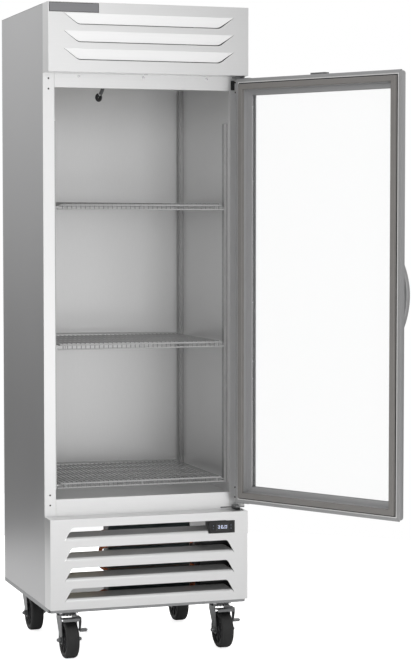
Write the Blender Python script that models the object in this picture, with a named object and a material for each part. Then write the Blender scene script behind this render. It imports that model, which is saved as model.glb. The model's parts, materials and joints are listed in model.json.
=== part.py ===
"""One-section reach-in refrigerator with a glass door, on four swivel casters.

The cabinet is worked out around the front plane of its jambs: X runs across the front and is zero on the
cabinet's centre line, Y runs into the cabinet and is zero on the jamb plane, and Z is height above the floor.
At the end the whole model is moved so that its origin is at the bottom centre of the box around it.
"""
import math

import bmesh
import bpy
from mathutils import Matrix, Vector

# ---- overall sizes (metres) ----
CABINET_WIDTH = 0.692
CABINET_HEIGHT = 2.174
CABINET_BACK = 0.602
LOUVER_FRONT = -0.077
WHEEL_RADIUS = 0.0625
DOOR_THICKNESS = 0.042
DOOR_OPEN_ANGLE = 120.4

# ---- fits ----
GAP = 0.0003
SHEET = 0.0012
PIN_CLEARANCE = 0.0003
OVERSHOOT = 0.010

# ---- storeys, measured up from the casters ----
CASTER_RISE = 0.0325
BASE_DEPTH = 0.0132
LOWER_LOUVER_HEIGHT = 0.3023
BASE_BOTTOM = 2 * WHEEL_RADIUS + CASTER_RISE
BASE_TOP = BASE_BOTTOM + BASE_DEPTH
LOWER_LOUVER_TOP = BASE_TOP + LOWER_LOUVER_HEIGHT
TRIM_BOTTOM = LOWER_LOUVER_TOP - 0.033
FOAM_BOTTOM = LOWER_LOUVER_TOP + 0.0015
DOOR_BOTTOM = LOWER_LOUVER_TOP + 0.0265
OPENING_BOTTOM = LOWER_LOUVER_TOP + 0.057

# ---- storeys, measured down from the top ----
OPENING_TOP = CABINET_HEIGHT - 0.274
DOOR_TOP = CABINET_HEIGHT - 0.2365
UPPER_LOUVER_BOTTOM = CABINET_HEIGHT - 0.2275
CEILING = CABINET_HEIGHT - 0.2235
FOAM_TOP = CABINET_HEIGHT - 0.184

# ---- cabinet walls ----
HALF_WIDTH = CABINET_WIDTH / 2
JAMB_WIDTH = 0.039
OPENING_HALF = HALF_WIDTH - JAMB_WIDTH
TRIM_RETURN = 0.0215
LINER_HALF = OPENING_HALF + SHEET
LINER_BACK = CABINET_BACK - 0.048
JAMB_HOLE_RADIUS = 0.003
JAMB_HOLE_INSETS = (0.0175, 0.0515)
JAMB_LOW_HOLE_INSETS = (0.038, 0.072)
BASE_APRON_FRONT = -0.057
BASE_APRON_BOTTOM = BASE_BOTTOM + 0.0005
BASE_APRON_END = 0.006
BASE_DEEP_FRONT = -0.047
BASE_SHEET = 0.0015

# ---- louvers: each slot is its half width at the hinge edge and at the free edge, and its depth ----
UPPER_LOUVERS = 3
UPPER_PITCH = 0.0577
UPPER_FIRST = CABINET_HEIGHT - 0.036
UPPER_SLOT = (HALF_WIDTH - 0.052, HALF_WIDTH - 0.101, 0.037)
UPPER_CORNER = 0.012
UPPER_FLAP_ANGLE = 14.0
LOWER_LOUVERS = 4
LOWER_PITCH = 0.068
LOWER_FIRST = LOWER_LOUVER_TOP - 0.071
LOWER_SLOT = (HALF_WIDTH - 0.049, HALF_WIDTH - 0.074, 0.043)
LOWER_CORNER = 0.007
LOWER_FLAP_ANGLE = 50.0
CORNER_STEPS = 4
FLAP_SHEET = 0.0011
FLAP_ROOT = 0.001
FLAP_MARGIN = 0.0006

# ---- controller in the right end of the first lower slot ----
CONTROLLER_INNER_X = HALF_WIDTH - 0.1385
CONTROLLER_OUTER_X = HALF_WIDTH - 0.0475
CONTROLLER_BOTTOM = LOWER_FIRST - 0.0005
CONTROLLER_HEIGHT = 0.042
CONTROLLER_PROUD = 0.0015
CONTROLLER_BEZEL = 0.003
CONTROLLER_RIM = 0.004
CONTROLLER_DEPTH = 0.056
CONTROLLER_FLAP_GAP = 0.004
BUTTON_SIZE = (0.009, 0.006)
BUTTON_TRAVEL = 0.0008
BUTTON_PROUD = 0.0007
BUTTON_BODY = 0.0017
BUTTON_INSET = 0.014
BUTTON_PITCH = 0.010

# ---- shelves and pilasters ----
SHELF_HEIGHTS = (OPENING_TOP - 0.385, OPENING_TOP - 0.8525, OPENING_BOTTOM + 0.052)
SHELF_FRONT = 0.020
SHELF_BACK = LINER_BACK - 0.054
SHELF_SIDE_CLEARANCE = 0.0115
SHELF_ROD = 0.006
SHELF_TRUSS = 0.017
SHELF_TRUSS_POSTS = 6
SHELF_TRUSS_OFFSET = 0.0005
SHELF_SLOTS = 17
SHELF_BAR = 0.004
PILASTER_PROUD = 0.012
PILASTER_WIDTH = 0.020
PILASTER_BOTTOM = OPENING_BOTTOM + 0.030
FRONT_PILASTER_Y = 0.040
REAR_PILASTER_Y = LINER_BACK - 0.022
FRONT_PILASTER_TOP = CABINET_HEIGHT - 0.384
REAR_PILASTER_TOP = CEILING - 0.020

# ---- door, measured from its inner face and its outer edge ----
DOOR_WIDTH = CABINET_WIDTH - 2 * 0.003
DOOR_FACE_Y = -0.012
DOOR_FLANGE = 0.003
DOOR_STEP = 0.003
DOOR_SIDE_DEPTH = 0.012
DOOR_ROUND = 0.020
DOOR_LIP_EDGE = 0.0557
DOOR_POCKET_EDGE = 0.045
DOOR_LIP = 0.0029
DOOR_INNER_LIP = 0.0185
GASKET_SEAT = (0.015, 0.037)
GASKET_SEAT_CLEARANCE = 0.001
GASKET_DEPTH = 0.0115
GASKET_SHOULDER = (0.004, 0.003)
GASKET_GROOVE = (0.024, 0.028)
GASKET_GROOVE_DEPTH = 0.005
GLASS_THICKNESS = 0.004
GLASS_CLEARANCE = 0.0013
ROUND_STEPS = 6

# ---- handle ----
HANDLE_LENGTH = 0.250
HANDLE_PROJECTION = 0.050
HANDLE_GRIP = 0.009
HANDLE_FOOT = 0.018
HANDLE_WIDTH = 0.012
HANDLE_EDGE_DISTANCE = 0.031
HANDLE_STEPS = 12

# ---- hinges ----
HINGE_EDGE_INSET = 0.006
HINGE_FACE_INSET = 0.025
PIVOT_X = DOOR_WIDTH / 2 - HINGE_EDGE_INSET
PIVOT_Y = DOOR_FACE_Y - HINGE_FACE_INSET
HINGE_PIN_RADIUS = 0.003
WASHER_RADIUS = HINGE_PIN_RADIUS + 0.003
CAM_RADIUS = HINGE_PIN_RADIUS + 0.0055
HINGE_ARM = 0.0047
HINGE_ARM_LENGTH = 0.055
HINGE_ARM_EDGE = 0.001
HINGE_ARM_DEPTHS = (0.004, DOOR_THICKNESS - 0.006)
BRACKET_RIGHT = HALF_WIDTH - 0.002
BRACKET_WIDTH = 0.030
BRACKET_REACH = 0.010
BRACKET_LEG = 0.043
BRACKET_SHEET = 0.003
TOP_BRACKET_HIGH = UPPER_LOUVER_BOTTOM - 0.0005
TOP_BRACKET_PLATE = 0.0035
BOTTOM_BRACKET_HIGH = DOOR_BOTTOM - 0.013
BOTTOM_BRACKET_PLATE = 0.005
BRACKET_NOTCH_MARGIN = 0.0005
SINK = 0.001

# ---- lock ----
STRIKE_LENGTH = 0.062
STRIKE_DEPTHS = (0.010, DOOR_THICKNESS - 0.012)
STRIKE_SLOT = (0.016, 0.008)
STRIKE_SLOT_DEPTH = 0.008
STRIKE_TOP = DOOR_TOP + 0.0065
BOLT_SIZE = (0.012, 0.005, 0.024)
BOLT_CLEARANCE = 0.001
BOLT_TIP = UPPER_LOUVER_BOTTOM - 0.0005

# ---- casters ----
CASTER_X = HALF_WIDTH - 0.075
CASTER_FRONT_Y = 0.005
CASTER_REAR_Y = CABINET_BACK - 0.101
CASTER_OFFSET = 0.035
WHEEL_WIDTH = 0.046
AXLE_RADIUS = 0.005
AXLE_PROUD = 0.008
HUB_RADIUS = 0.014
WHEEL_RECESS = 0.005
TYRE_DEPTH = 0.018
TYRE_SHOULDER = 0.007
CASTER_PLATE = (0.072, 0.088, 0.003)
RACE_RADIUS = 0.026
RACE_HEIGHT = 0.006
FORK_SHEET = 0.003
FORK_CLEARANCE = 0.002
FORK_HEAD_HEIGHT = 0.004
FORK_HEAD_RADIUS = RACE_RADIUS + 0.003
FORK_FRONT = -0.030
FORK_REAR = 0.028
FORK_FOOT_RADIUS = 0.015
PEDAL_HEIGHT = WHEEL_RADIUS + 0.0285
PEDAL_CLEARANCE = 0.0005
PEDAL_SHEET = 0.002

# ---- refrigeration system ----
UNIT_FLOOR = BASE_BOTTOM + BASE_SHEET + GAP
CONDENSER_X = (0.221 - HALF_WIDTH, HALF_WIDTH - 0.181)
CONDENSER_Y = (0.006, 0.050)
CONDENSER_HEIGHT = 0.2745
SHROUD_RIM = 0.0445
SHROUD_HOLE_RADIUS = min(CONDENSER_X[1] - CONDENSER_X[0], CONDENSER_HEIGHT) / 2 - SHROUD_RIM
SHROUD_DEPTH = 0.015
CONDENSER_FAN_RADIUS = SHROUD_HOLE_RADIUS - 0.006
CONDENSER_FAN_HUB = 0.024
CONDENSER_FAN_OFFSET = 0.024
FAN_DEPTH = 0.020
FAN_BLADES = 5
FAN_TILT = 24.0
COMPRESSOR_AT = (HALF_WIDTH - 0.141, 0.310)
COMPRESSOR_RADIUS = 0.080
COMPRESSOR_HEIGHT = 0.185
EVAPORATOR_HALF_WIDTH = HALF_WIDTH - 0.146
EVAPORATOR_Y = (0.070, CABINET_BACK - 0.062)
EVAPORATOR_HEIGHT = 0.150
EVAPORATOR_WALL = 0.003
EVAPORATOR_FAN_AT = (0.0, 0.160)
EVAPORATOR_FAN_RADIUS = 0.052
EVAPORATOR_FAN_HUB = 0.016
EVAPORATOR_FAN_RISE = 0.040
VENT_HALF = EVAPORATOR_FAN_RADIUS + 0.008
RETURN_VENT_HALF = EVAPORATOR_HALF_WIDTH - 0.050
RETURN_VENT_Y = (CABINET_BACK - 0.182, CABINET_BACK - 0.102)
COIL_Y = (EVAPORATOR_FAN_AT[1] + VENT_HALF + 0.035, RETURN_VENT_Y[0] - 0.035)
COIL_END = 0.030
COIL_Z = (FOAM_TOP + 0.0046, FOAM_TOP + 0.1106)


# ---------------------------------------------------------------- building blocks

def material(name, colour, roughness, metallic, alpha=1.0):
    made = bpy.data.materials.new(name)
    made.use_nodes = True
    shader = made.node_tree.nodes["Principled BSDF"]
    shader.inputs["Base Color"].default_value = (*colour, 1.0)
    shader.inputs["Roughness"].default_value = roughness
    shader.inputs["Metallic"].default_value = metallic
    shader.inputs["Alpha"].default_value = alpha
    return made


def mesh_from(bm, name="shape"):
    """Close a bmesh into a mesh whose faces point outwards."""
    bmesh.ops.recalc_face_normals(bm, faces=bm.faces)
    mesh = bpy.data.meshes.new(name)
    bm.to_mesh(mesh)
    bm.free()
    return mesh


def add_object(name, mesh, finish, parent, smooth=False, location=(0, 0, 0)):
    mesh.name = name
    made = bpy.data.objects.new(name, mesh)
    bpy.context.scene.collection.objects.link(made)
    mesh.materials.clear()
    mesh.materials.append(finish)
    if smooth:
        mesh.shade_smooth()
        mesh.set_sharp_from_angle(angle=math.radians(35))
    made.parent = parent
    made.location = location
    return made


def add_empty(name, location, parent=None):
    made = bpy.data.objects.new(name, None)
    bpy.context.scene.collection.objects.link(made)
    made.location = location
    made.parent = parent
    return made


def ring_faces(bm, first, second):
    count = len(first)
    for i in range(count):
        j = (i + 1) % count
        bm.faces.new((first[i], first[j], second[j], second[i]))


def loft(sections):
    """Closed solid through a list of rings of points, with a flat face at each end."""
    bm = bmesh.new()
    rings = [[bm.verts.new(point) for point in section] for section in sections]
    for first, second in zip(rings, rings[1:]):
        ring_faces(bm, first, second)
    bm.faces.new(rings[0])
    bm.faces.new(rings[-1])
    return mesh_from(bm)


def loop_loft(sections):
    """Closed ring-shaped solid: the last ring of points joins the first."""
    bm = bmesh.new()
    rings = [[bm.verts.new(point) for point in section] for section in sections]
    for first, second in zip(rings, rings[1:] + rings[:1]):
        ring_faces(bm, first, second)
    return mesh_from(bm)


def prism(outline, axis, low, high):
    """Extrude an outline along an axis; the outline holds the two other coordinates in X, Y, Z order."""
    def place(pair, level):
        values = list(pair)
        values.insert("XYZ".index(axis), level)
        return values
    return loft([[place(pair, low) for pair in outline], [place(pair, high) for pair in outline]])


def box(low, high):
    outline = [(low[0], low[1]), (high[0], low[1]), (high[0], high[1]), (low[0], high[1])]
    return prism(outline, "Z", low[2], high[2])


def circle(radius, centre=(0.0, 0.0), steps=16, start=0.0):
    angles = [start + 2 * math.pi * i / steps for i in range(steps)]
    return [(centre[0] + radius * math.cos(a), centre[1] + radius * math.sin(a)) for a in angles]


def cylinder(radius, axis, centre, low, high, steps=16):
    return prism(circle(radius, centre, steps), axis, low, high)


def open_box(low, high, inner_low, inner_high, axis, side):
    """Five-walled box, open on one side of one axis; the hollow runs out through that side."""
    inner_low = list(inner_low)
    inner_high = list(inner_high)
    index = "XYZ".index(axis)
    if side < 0:
        inner_low[index] = low[index]
    else:
        inner_high[index] = high[index]

    def corners(near, far, level):
        others = [i for i in range(3) if i != index]
        points = []
        for a, b in ((0, 0), (1, 0), (1, 1), (0, 1)):
            point = [0.0, 0.0, 0.0]
            point[index] = level
            point[others[0]] = (near, far)[a][others[0]]
            point[others[1]] = (near, far)[b][others[1]]
            points.append(point)
        return points
    mouth, back = (low[index], high[index]) if side < 0 else (high[index], low[index])
    floor = inner_high[index] if side < 0 else inner_low[index]
    return loft([corners(low, high, back), corners(low, high, mouth),
                 corners(inner_low, inner_high, mouth), corners(inner_low, inner_high, floor)])


def turned(profile, axis, centre, steps):
    """Turn a closed profile of (radius, level) points about an axis; a radius of zero closes on the axis."""
    bm = bmesh.new()
    index = "XYZ".index(axis)
    others = [i for i in range(3) if i != index]

    def point(radius, level, angle):
        values = [0.0, 0.0, 0.0]
        values[index] = level
        values[others[0]] = centre[0] + radius * math.cos(angle)
        values[others[1]] = centre[1] + radius * math.sin(angle)
        return values
    rings = []
    for radius, level in profile:
        if radius == 0:
            rings.append([bm.verts.new(point(0, level, 0))] * steps)
        else:
            rings.append([bm.verts.new(point(radius, level, 2 * math.pi * i / steps)) for i in range(steps)])
    pairs = list(zip(rings, rings[1:]))
    if profile[0][0] > 0:
        pairs.append((rings[-1], rings[0]))
    for first, second in pairs:
        for i in range(steps):
            j = (i + 1) % steps
            corners = list(dict.fromkeys((first[i], first[j], second[j], second[i])))
            bm.faces.new(corners)
    return mesh_from(bm)


def slotted_plate(x_edges, y_edges, is_hole, low, high):
    """Flat plate on a grid of cells, with the chosen cells left open."""
    bm = bmesh.new()
    levels = []
    for level in (low, high):
        levels.append([[bm.verts.new((x, y, level)) for y in y_edges] for x in x_edges])
    columns, rows = len(x_edges) - 1, len(y_edges) - 1

    def solid(i, j):
        return 0 <= i < columns and 0 <= j < rows and not is_hole(i, j)
    for i in range(columns):
        for j in range(rows):
            if not solid(i, j):
                continue
            for level in levels:
                bm.faces.new((level[i][j], level[i + 1][j], level[i + 1][j + 1], level[i][j + 1]))
            walls = (((i, j), (i + 1, j), (i, j - 1)), ((i + 1, j), (i + 1, j + 1), (i + 1, j)),
                     ((i + 1, j + 1), (i, j + 1), (i, j + 1)), ((i, j + 1), (i, j), (i - 1, j)))
            for (a, b), (c, d), neighbour in walls:
                if not solid(*neighbour):
                    bm.faces.new((levels[0][a][b], levels[0][c][d], levels[1][c][d], levels[1][a][b]))
    bmesh.ops.dissolve_limit(bm, angle_limit=math.radians(1), verts=bm.verts, edges=bm.edges)
    return mesh_from(bm)


def combine(base, tools, operation):
    """Exact Boolean of a mesh with each tool mesh in turn, returned as one plain mesh."""
    holder = bpy.data.objects.new("boolean_base", base)
    bpy.context.scene.collection.objects.link(holder)
    helpers = []
    for tool in tools:
        helper = bpy.data.objects.new("boolean_tool", tool)
        bpy.context.scene.collection.objects.link(helper)
        modifier = holder.modifiers.new("boolean", "BOOLEAN")
        modifier.operation = operation
        modifier.solver = "EXACT"
        modifier.object = helper
        helpers.append(helper)
    evaluated = holder.evaluated_get(bpy.context.evaluated_depsgraph_get())
    result = bpy.data.meshes.new_from_object(evaluated)
    for helper in helpers + [holder]:
        bpy.data.objects.remove(helper)
    return result


def union(*meshes):
    return combine(meshes[0], meshes[1:], "UNION")


def cut(base, *tools):
    return combine(base, tools, "DIFFERENCE")


def mirrored(outline):
    """Outline of (x, other) points mirrored in x, in reversed order."""
    return [(-x, other) for x, other in reversed(outline)]


# ---------------------------------------------------------------- finishes

def make_finishes():
    return {
        "painted_steel": material("painted_steel", (0.62, 0.62, 0.63), 0.35, 0.1),
        "bright_steel": material("bright_steel", (0.78, 0.78, 0.79), 0.3, 0.3),
        "liner": material("liner", (0.50, 0.50, 0.50), 0.4, 0.1),
        "foam": material("foam", (0.72, 0.66, 0.45), 0.9, 0.0),
        "galvanised": material("galvanised", (0.46, 0.47, 0.48), 0.45, 0.6),
        "aluminium": material("aluminium", (0.44, 0.45, 0.46), 0.4, 0.6),
        "rubber": material("rubber", (0.20, 0.19, 0.18), 0.7, 0.0),
        "tyre": material("tyre", (0.03, 0.03, 0.03), 0.6, 0.0),
        "glass": material("glass", (0.9, 0.95, 0.95), 0.05, 0.0, 0.2),
        "black_plastic": material("black_plastic", (0.02, 0.02, 0.02), 0.4, 0.0),
        "wire": material("wire", (0.62, 0.63, 0.64), 0.35, 0.2),
        "zinc": material("zinc", (0.55, 0.56, 0.57), 0.35, 0.8),
        "black_enamel": material("black_enamel", (0.03, 0.03, 0.03), 0.35, 0.1),
        "coil": material("coil", (0.42, 0.47, 0.47), 0.4, 0.7),
    }


# ---------------------------------------------------------------- cabinet shell

def side_panel(side):
    """Outer side sheet; side is -1 for left and +1 for right."""
    edges = sorted((side * HALF_WIDTH, side * (HALF_WIDTH - SHEET)))
    top = CABINET_HEIGHT - SHEET - GAP
    return box((edges[0], SHEET + GAP, BASE_TOP + GAP), (edges[1], CABINET_BACK - SHEET - GAP, top))


def back_panel():
    return box((-HALF_WIDTH, CABINET_BACK - SHEET, FOAM_BOTTOM),
               (HALF_WIDTH, CABINET_BACK, CABINET_HEIGHT - SHEET - GAP))


def top_panel():
    return box((-HALF_WIDTH, 0, CABINET_HEIGHT - SHEET), (HALF_WIDTH, CABINET_BACK, CABINET_HEIGHT))


def base_pan():
    """Shallow pan that carries the condensing unit, with a raised apron along its front."""
    pan = open_box((-HALF_WIDTH, BASE_DEEP_FRONT, BASE_BOTTOM), (HALF_WIDTH, CABINET_BACK, BASE_TOP),
                   (BASE_SHEET - HALF_WIDTH, BASE_DEEP_FRONT + BASE_SHEET, BASE_BOTTOM + BASE_SHEET),
                   (HALF_WIDTH - BASE_SHEET, CABINET_BACK - BASE_SHEET, BASE_TOP), "Z", 1)
    apron_half = HALF_WIDTH - BASE_APRON_END
    apron = box((-apron_half, BASE_APRON_FRONT, BASE_APRON_BOTTOM),
                (apron_half, BASE_DEEP_FRONT + BASE_SHEET / 2, BASE_TOP))
    return union(pan, apron)


def vent_cutters():
    """Two air ways through the ceiling: one under the evaporator fan and one that lets air return."""
    fan_x, fan_y = EVAPORATOR_FAN_AT
    near, far = RETURN_VENT_Y
    low, high = CEILING - OVERSHOOT, FOAM_TOP + OVERSHOOT
    return [box((fan_x - VENT_HALF, fan_y - VENT_HALF, low), (fan_x + VENT_HALF, fan_y + VENT_HALF, high)),
            box((-RETURN_VENT_HALF, near, low), (RETURN_VENT_HALF, far, high))]


def insulation_foam():
    outer = HALF_WIDTH - SHEET - GAP
    hollow = LINER_HALF + SHEET + GAP
    body = open_box((-outer, SHEET + GAP, FOAM_BOTTOM), (outer, CABINET_BACK - SHEET - GAP, FOAM_TOP),
                    (-hollow, 0, OPENING_BOTTOM - SHEET - GAP),
                    (hollow, LINER_BACK + SHEET + GAP, CEILING + SHEET + GAP), "Y", -1)
    return cut(body, *vent_cutters())


def inner_liner():
    wall = LINER_HALF + SHEET
    low, high = OPENING_BOTTOM - SHEET, CEILING + SHEET
    body = open_box((-wall, TRIM_RETURN + GAP, low), (wall, LINER_BACK + SHEET, high),
                    (-LINER_HALF, 0, OPENING_BOTTOM), (LINER_HALF, LINER_BACK, CEILING), "Y", -1)
    return cut(body, *vent_cutters())


def jamb(side):
    """Front trim beside the opening, folded back along the opening's edge, with spare hinge holes."""
    inner, outer = sorted((side * OPENING_HALF, side * HALF_WIDTH))
    face = box((inner, 0, TRIM_BOTTOM), (outer, SHEET, FOAM_TOP))
    fold_near, fold_far = sorted((side * OPENING_HALF, side * (OPENING_HALF + SHEET)))
    fold = box((fold_near, SHEET / 2, OPENING_BOTTOM), (fold_far, TRIM_RETURN, CEILING))
    middle = side * (HALF_WIDTH + OPENING_HALF) / 2
    heights = [UPPER_LOUVER_BOTTOM - inset for inset in JAMB_HOLE_INSETS]
    heights += [LOWER_LOUVER_TOP + inset for inset in JAMB_LOW_HOLE_INSETS]
    holes = [cylinder(JAMB_HOLE_RADIUS, "Y", (middle, height), -OVERSHOOT, OVERSHOOT, 10)
             for height in heights]
    return cut(union(face, fold), *holes)


def header_strip():
    """Channel across the top of the opening; its front face runs up behind the upper louver panel."""
    inner = TRIM_RETURN - SHEET
    outline = [(0, OPENING_TOP), (TRIM_RETURN, OPENING_TOP), (TRIM_RETURN, CEILING - GAP),
               (inner, CEILING - GAP), (inner, OPENING_TOP + SHEET), (SHEET, OPENING_TOP + SHEET),
               (SHEET, FOAM_TOP), (0, FOAM_TOP)]
    return prism(outline, "X", GAP - OPENING_HALF, OPENING_HALF - GAP)


def sill_strip():
    outline = [(0, TRIM_BOTTOM), (SHEET, TRIM_BOTTOM), (SHEET, OPENING_BOTTOM - SHEET),
               (TRIM_RETURN, OPENING_BOTTOM - SHEET), (TRIM_RETURN, OPENING_BOTTOM), (0, OPENING_BOTTOM)]
    return prism(outline, "X", GAP - OPENING_HALF, OPENING_HALF - GAP)


# ---------------------------------------------------------------- louver panels

def slot_outline(slot, corner, margin=0.0, right_stop=None):
    """Trapezoid of (x, distance from the hinge edge) with its two free corners rounded."""
    hinge_half, free_half, depth = slot[0] - margin, slot[1] - margin, slot[2] - margin
    lean = math.atan2(hinge_half - free_half, depth)
    inset = corner / math.tan((math.pi / 2 + lean) / 2)
    right = []
    for i in range(CORNER_STEPS + 1):
        angle = math.pi / 2 - i * (math.pi / 2 - lean) / CORNER_STEPS
        right.append((free_half - inset + corner * math.cos(angle),
                      depth - corner + corner * math.sin(angle)))
    right.append((hinge_half, 0.0))
    left = [(-x, distance) for x, distance in reversed(right)]
    if right_stop is not None:
        right = [(right_stop, depth), (right_stop, 0.0)]
    return left + right


def flap(outline, hinge_height, direction, angle):
    """Louver flap rooted in the middle of the sheet, going up (+1) or down (-1) and inwards."""
    lean = math.radians(angle)
    along = Vector((0, math.sin(lean), direction * math.cos(lean)))
    through = Vector((0, math.cos(lean), -direction * math.sin(lean)))
    root = Vector((0, LOUVER_FRONT + SHEET / 2, hinge_height - direction * FLAP_ROOT))
    faces = []
    for level in (-FLAP_SHEET / 2, FLAP_SHEET / 2):
        faces.append([root + Vector((x, 0, 0)) + distance * along + level * through
                      for x, distance in outline])
    return loft(faces)


def add_louver(panel, slot, corner, hinge_height, direction, angle, right_stop=None):
    """Cut one slot in the panel and join on its flap, bent inwards about the slot's hinge edge."""
    opening = [(x, hinge_height + direction * distance) for x, distance in slot_outline(slot, corner)]
    opened = cut(panel, prism(opening, "Y", LOUVER_FRONT - SHEET, LOUVER_FRONT + 2 * SHEET))
    outline = slot_outline(slot, corner, FLAP_MARGIN, right_stop)
    return union(opened, flap(outline, hinge_height, direction, angle))


def louver_tray(bottom, top, back):
    """Folded sheet tray, open at the back, that the louvers are pressed into."""
    return open_box((-HALF_WIDTH, LOUVER_FRONT, bottom), (HALF_WIDTH, back, top),
                    (SHEET - HALF_WIDTH, LOUVER_FRONT + SHEET, bottom + SHEET),
                    (HALF_WIDTH - SHEET, back, top - SHEET), "Y", 1)


def bracket_notch(height):
    """Notch in a tray's wall at the given height, which a hinge bracket's leg passes through."""
    margin = BRACKET_NOTCH_MARGIN
    return box((BRACKET_RIGHT - BRACKET_WIDTH - margin, -GAP - BRACKET_SHEET - margin, height - OVERSHOOT),
               (BRACKET_RIGHT + margin, OVERSHOOT, height + OVERSHOOT))


def upper_louver_panel():
    """Panel above the door; its flaps hang from the top edge of each slot."""
    panel = louver_tray(UPPER_LOUVER_BOTTOM, CABINET_HEIGHT, -GAP)
    for i in range(UPPER_LOUVERS):
        height = UPPER_FIRST - i * UPPER_PITCH
        panel = add_louver(panel, UPPER_SLOT, UPPER_CORNER, height, -1, UPPER_FLAP_ANGLE)
    half_width, half_depth = BOLT_SIZE[0] / 2 + BOLT_CLEARANCE, BOLT_SIZE[1] / 2 + BOLT_CLEARANCE
    bolt_y = strike_middle()
    bolt_hole = box((-half_width, bolt_y - half_depth, UPPER_LOUVER_BOTTOM - OVERSHOOT),
                    (half_width, bolt_y + half_depth, UPPER_LOUVER_BOTTOM + OVERSHOOT))
    return cut(panel, bolt_hole, bracket_notch(UPPER_LOUVER_BOTTOM))


def lower_louver_panel():
    """Panel under the door; its flaps stand on the bottom edge of each slot, and the first stops short
    of the controller."""
    panel = louver_tray(BASE_TOP + GAP, LOWER_LOUVER_TOP, -GAP)
    window = box((CONTROLLER_INNER_X - GAP, LOUVER_FRONT - SHEET, CONTROLLER_BOTTOM - GAP),
                 (CONTROLLER_OUTER_X + GAP, LOUVER_FRONT + 2 * SHEET,
                  CONTROLLER_BOTTOM + CONTROLLER_HEIGHT + GAP))
    panel = cut(panel, window, bracket_notch(LOWER_LOUVER_TOP))
    for i in range(LOWER_LOUVERS):
        stop = CONTROLLER_INNER_X - CONTROLLER_FLAP_GAP if i == 0 else None
        panel = add_louver(panel, LOWER_SLOT, LOWER_CORNER, LOWER_FIRST - i * LOWER_PITCH, 1,
                           LOWER_FLAP_ANGLE, stop)
    return panel


# ---------------------------------------------------------------- controller

def button_centres():
    """Places of the four buttons: two at each end of the bezel, one above the other."""
    inner = CONTROLLER_INNER_X + BUTTON_INSET
    outer = CONTROLLER_OUTER_X - BUTTON_INSET
    middle = CONTROLLER_BOTTOM + CONTROLLER_HEIGHT / 2
    offset = BUTTON_PITCH / 2
    return [(x, middle + step) for x in (inner, outer) for step in (offset, -offset)]


def button_box(centre, front, back, margin=0.0):
    half_width, half_height = BUTTON_SIZE[0] / 2 + margin, BUTTON_SIZE[1] / 2 + margin
    return box((centre[0] - half_width, front, centre[1] - half_height),
               (centre[0] + half_width, back, centre[1] + half_height))


def controller_body():
    """Bezel in the panel's window, with a smaller case behind it and a pocket for each button."""
    front = LOUVER_FRONT - CONTROLLER_PROUD
    low, high = CONTROLLER_BOTTOM, CONTROLLER_BOTTOM + CONTROLLER_HEIGHT
    inset = CONTROLLER_RIM

    def frame(level, margin):
        return [(CONTROLLER_INNER_X + margin, level, low + margin),
                (CONTROLLER_OUTER_X - margin, level, low + margin),
                (CONTROLLER_OUTER_X - margin, level, high - margin),
                (CONTROLLER_INNER_X + margin, level, high - margin)]
    bezel_back = front + CONTROLLER_BEZEL
    body = loft([frame(front, 0), frame(bezel_back, 0), frame(bezel_back, inset),
                 frame(front + CONTROLLER_DEPTH, inset)])
    depth = BUTTON_BODY - BUTTON_PROUD + BUTTON_TRAVEL + GAP
    pockets = [button_box(centre, front - OVERSHOOT, front + depth, GAP) for centre in button_centres()]
    return cut(body, *pockets)


def controller_button(centre):
    front = LOUVER_FRONT - CONTROLLER_PROUD - BUTTON_PROUD
    return button_box(centre, front, front + BUTTON_BODY)


# ---------------------------------------------------------------- inside the cabinet

def pilaster(side, y, top):
    """Shelf upright: a folded channel, open towards the side wall."""
    wall = LINER_HALF - GAP
    face = LINER_HALF - PILASTER_PROUD
    half = PILASTER_WIDTH / 2
    outline = [(wall, y - half), (face, y - half), (face, y + half), (wall, y + half),
               (wall, y + half - SHEET), (face + SHEET, y + half - SHEET),
               (face + SHEET, y - half + SHEET), (wall, y - half + SHEET)]
    if side < 0:
        outline = mirrored(outline)
    return prism(outline, "Z", PILASTER_BOTTOM, top)


def shelf(height):
    """Wire shelf: a slotted deck, with a trussed front edge below it."""
    half = LINER_HALF - PILASTER_PROUD - SHELF_SIDE_CLEARANCE
    pitch = (2 * half - SHELF_ROD) / SHELF_SLOTS
    xs = []
    for i in range(SHELF_SLOTS + 1):
        left = -half + SHELF_ROD / 2 + i * pitch - SHELF_BAR / 2
        xs += [left, left + SHELF_BAR]
    xs[0] = -half
    xs[-1] = half
    ys = [SHELF_FRONT, SHELF_FRONT + SHELF_ROD, SHELF_BACK - SHELF_ROD, SHELF_BACK]
    low, high = height - SHELF_ROD / 2, height + SHELF_ROD / 2
    deck = slotted_plate(xs, ys, lambda i, j: i % 2 == 1 and j == 1, low, high)
    drop = SHELF_TRUSS + SHELF_ROD / 2
    posts = [-half + i * 2 * half / (SHELF_TRUSS_POSTS - 1) for i in range(SHELF_TRUSS_POSTS)]
    posts = [-half + SHELF_ROD / 2] + posts[1:-1] + [half - SHELF_ROD / 2]
    edges = []
    for post in posts:
        edges += [post - SHELF_ROD / 2, post + SHELF_ROD / 2]
    rows = [0.0, SHELF_ROD, drop + SHELF_ROD / 3]
    truss = slotted_plate(edges, rows, lambda i, j: i % 2 == 1 and j == 1, 0.0, SHELF_ROD)
    truss.transform(Matrix.Translation((0, SHELF_FRONT + SHELF_ROD + SHELF_TRUSS_OFFSET, height - drop)) @
                    Matrix.Rotation(math.radians(90), 4, "X"))
    return union(deck, truss)


# ---------------------------------------------------------------- door
# A place on the door is given by s, in from its outer edge, and t, outwards from its inner face.

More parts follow.
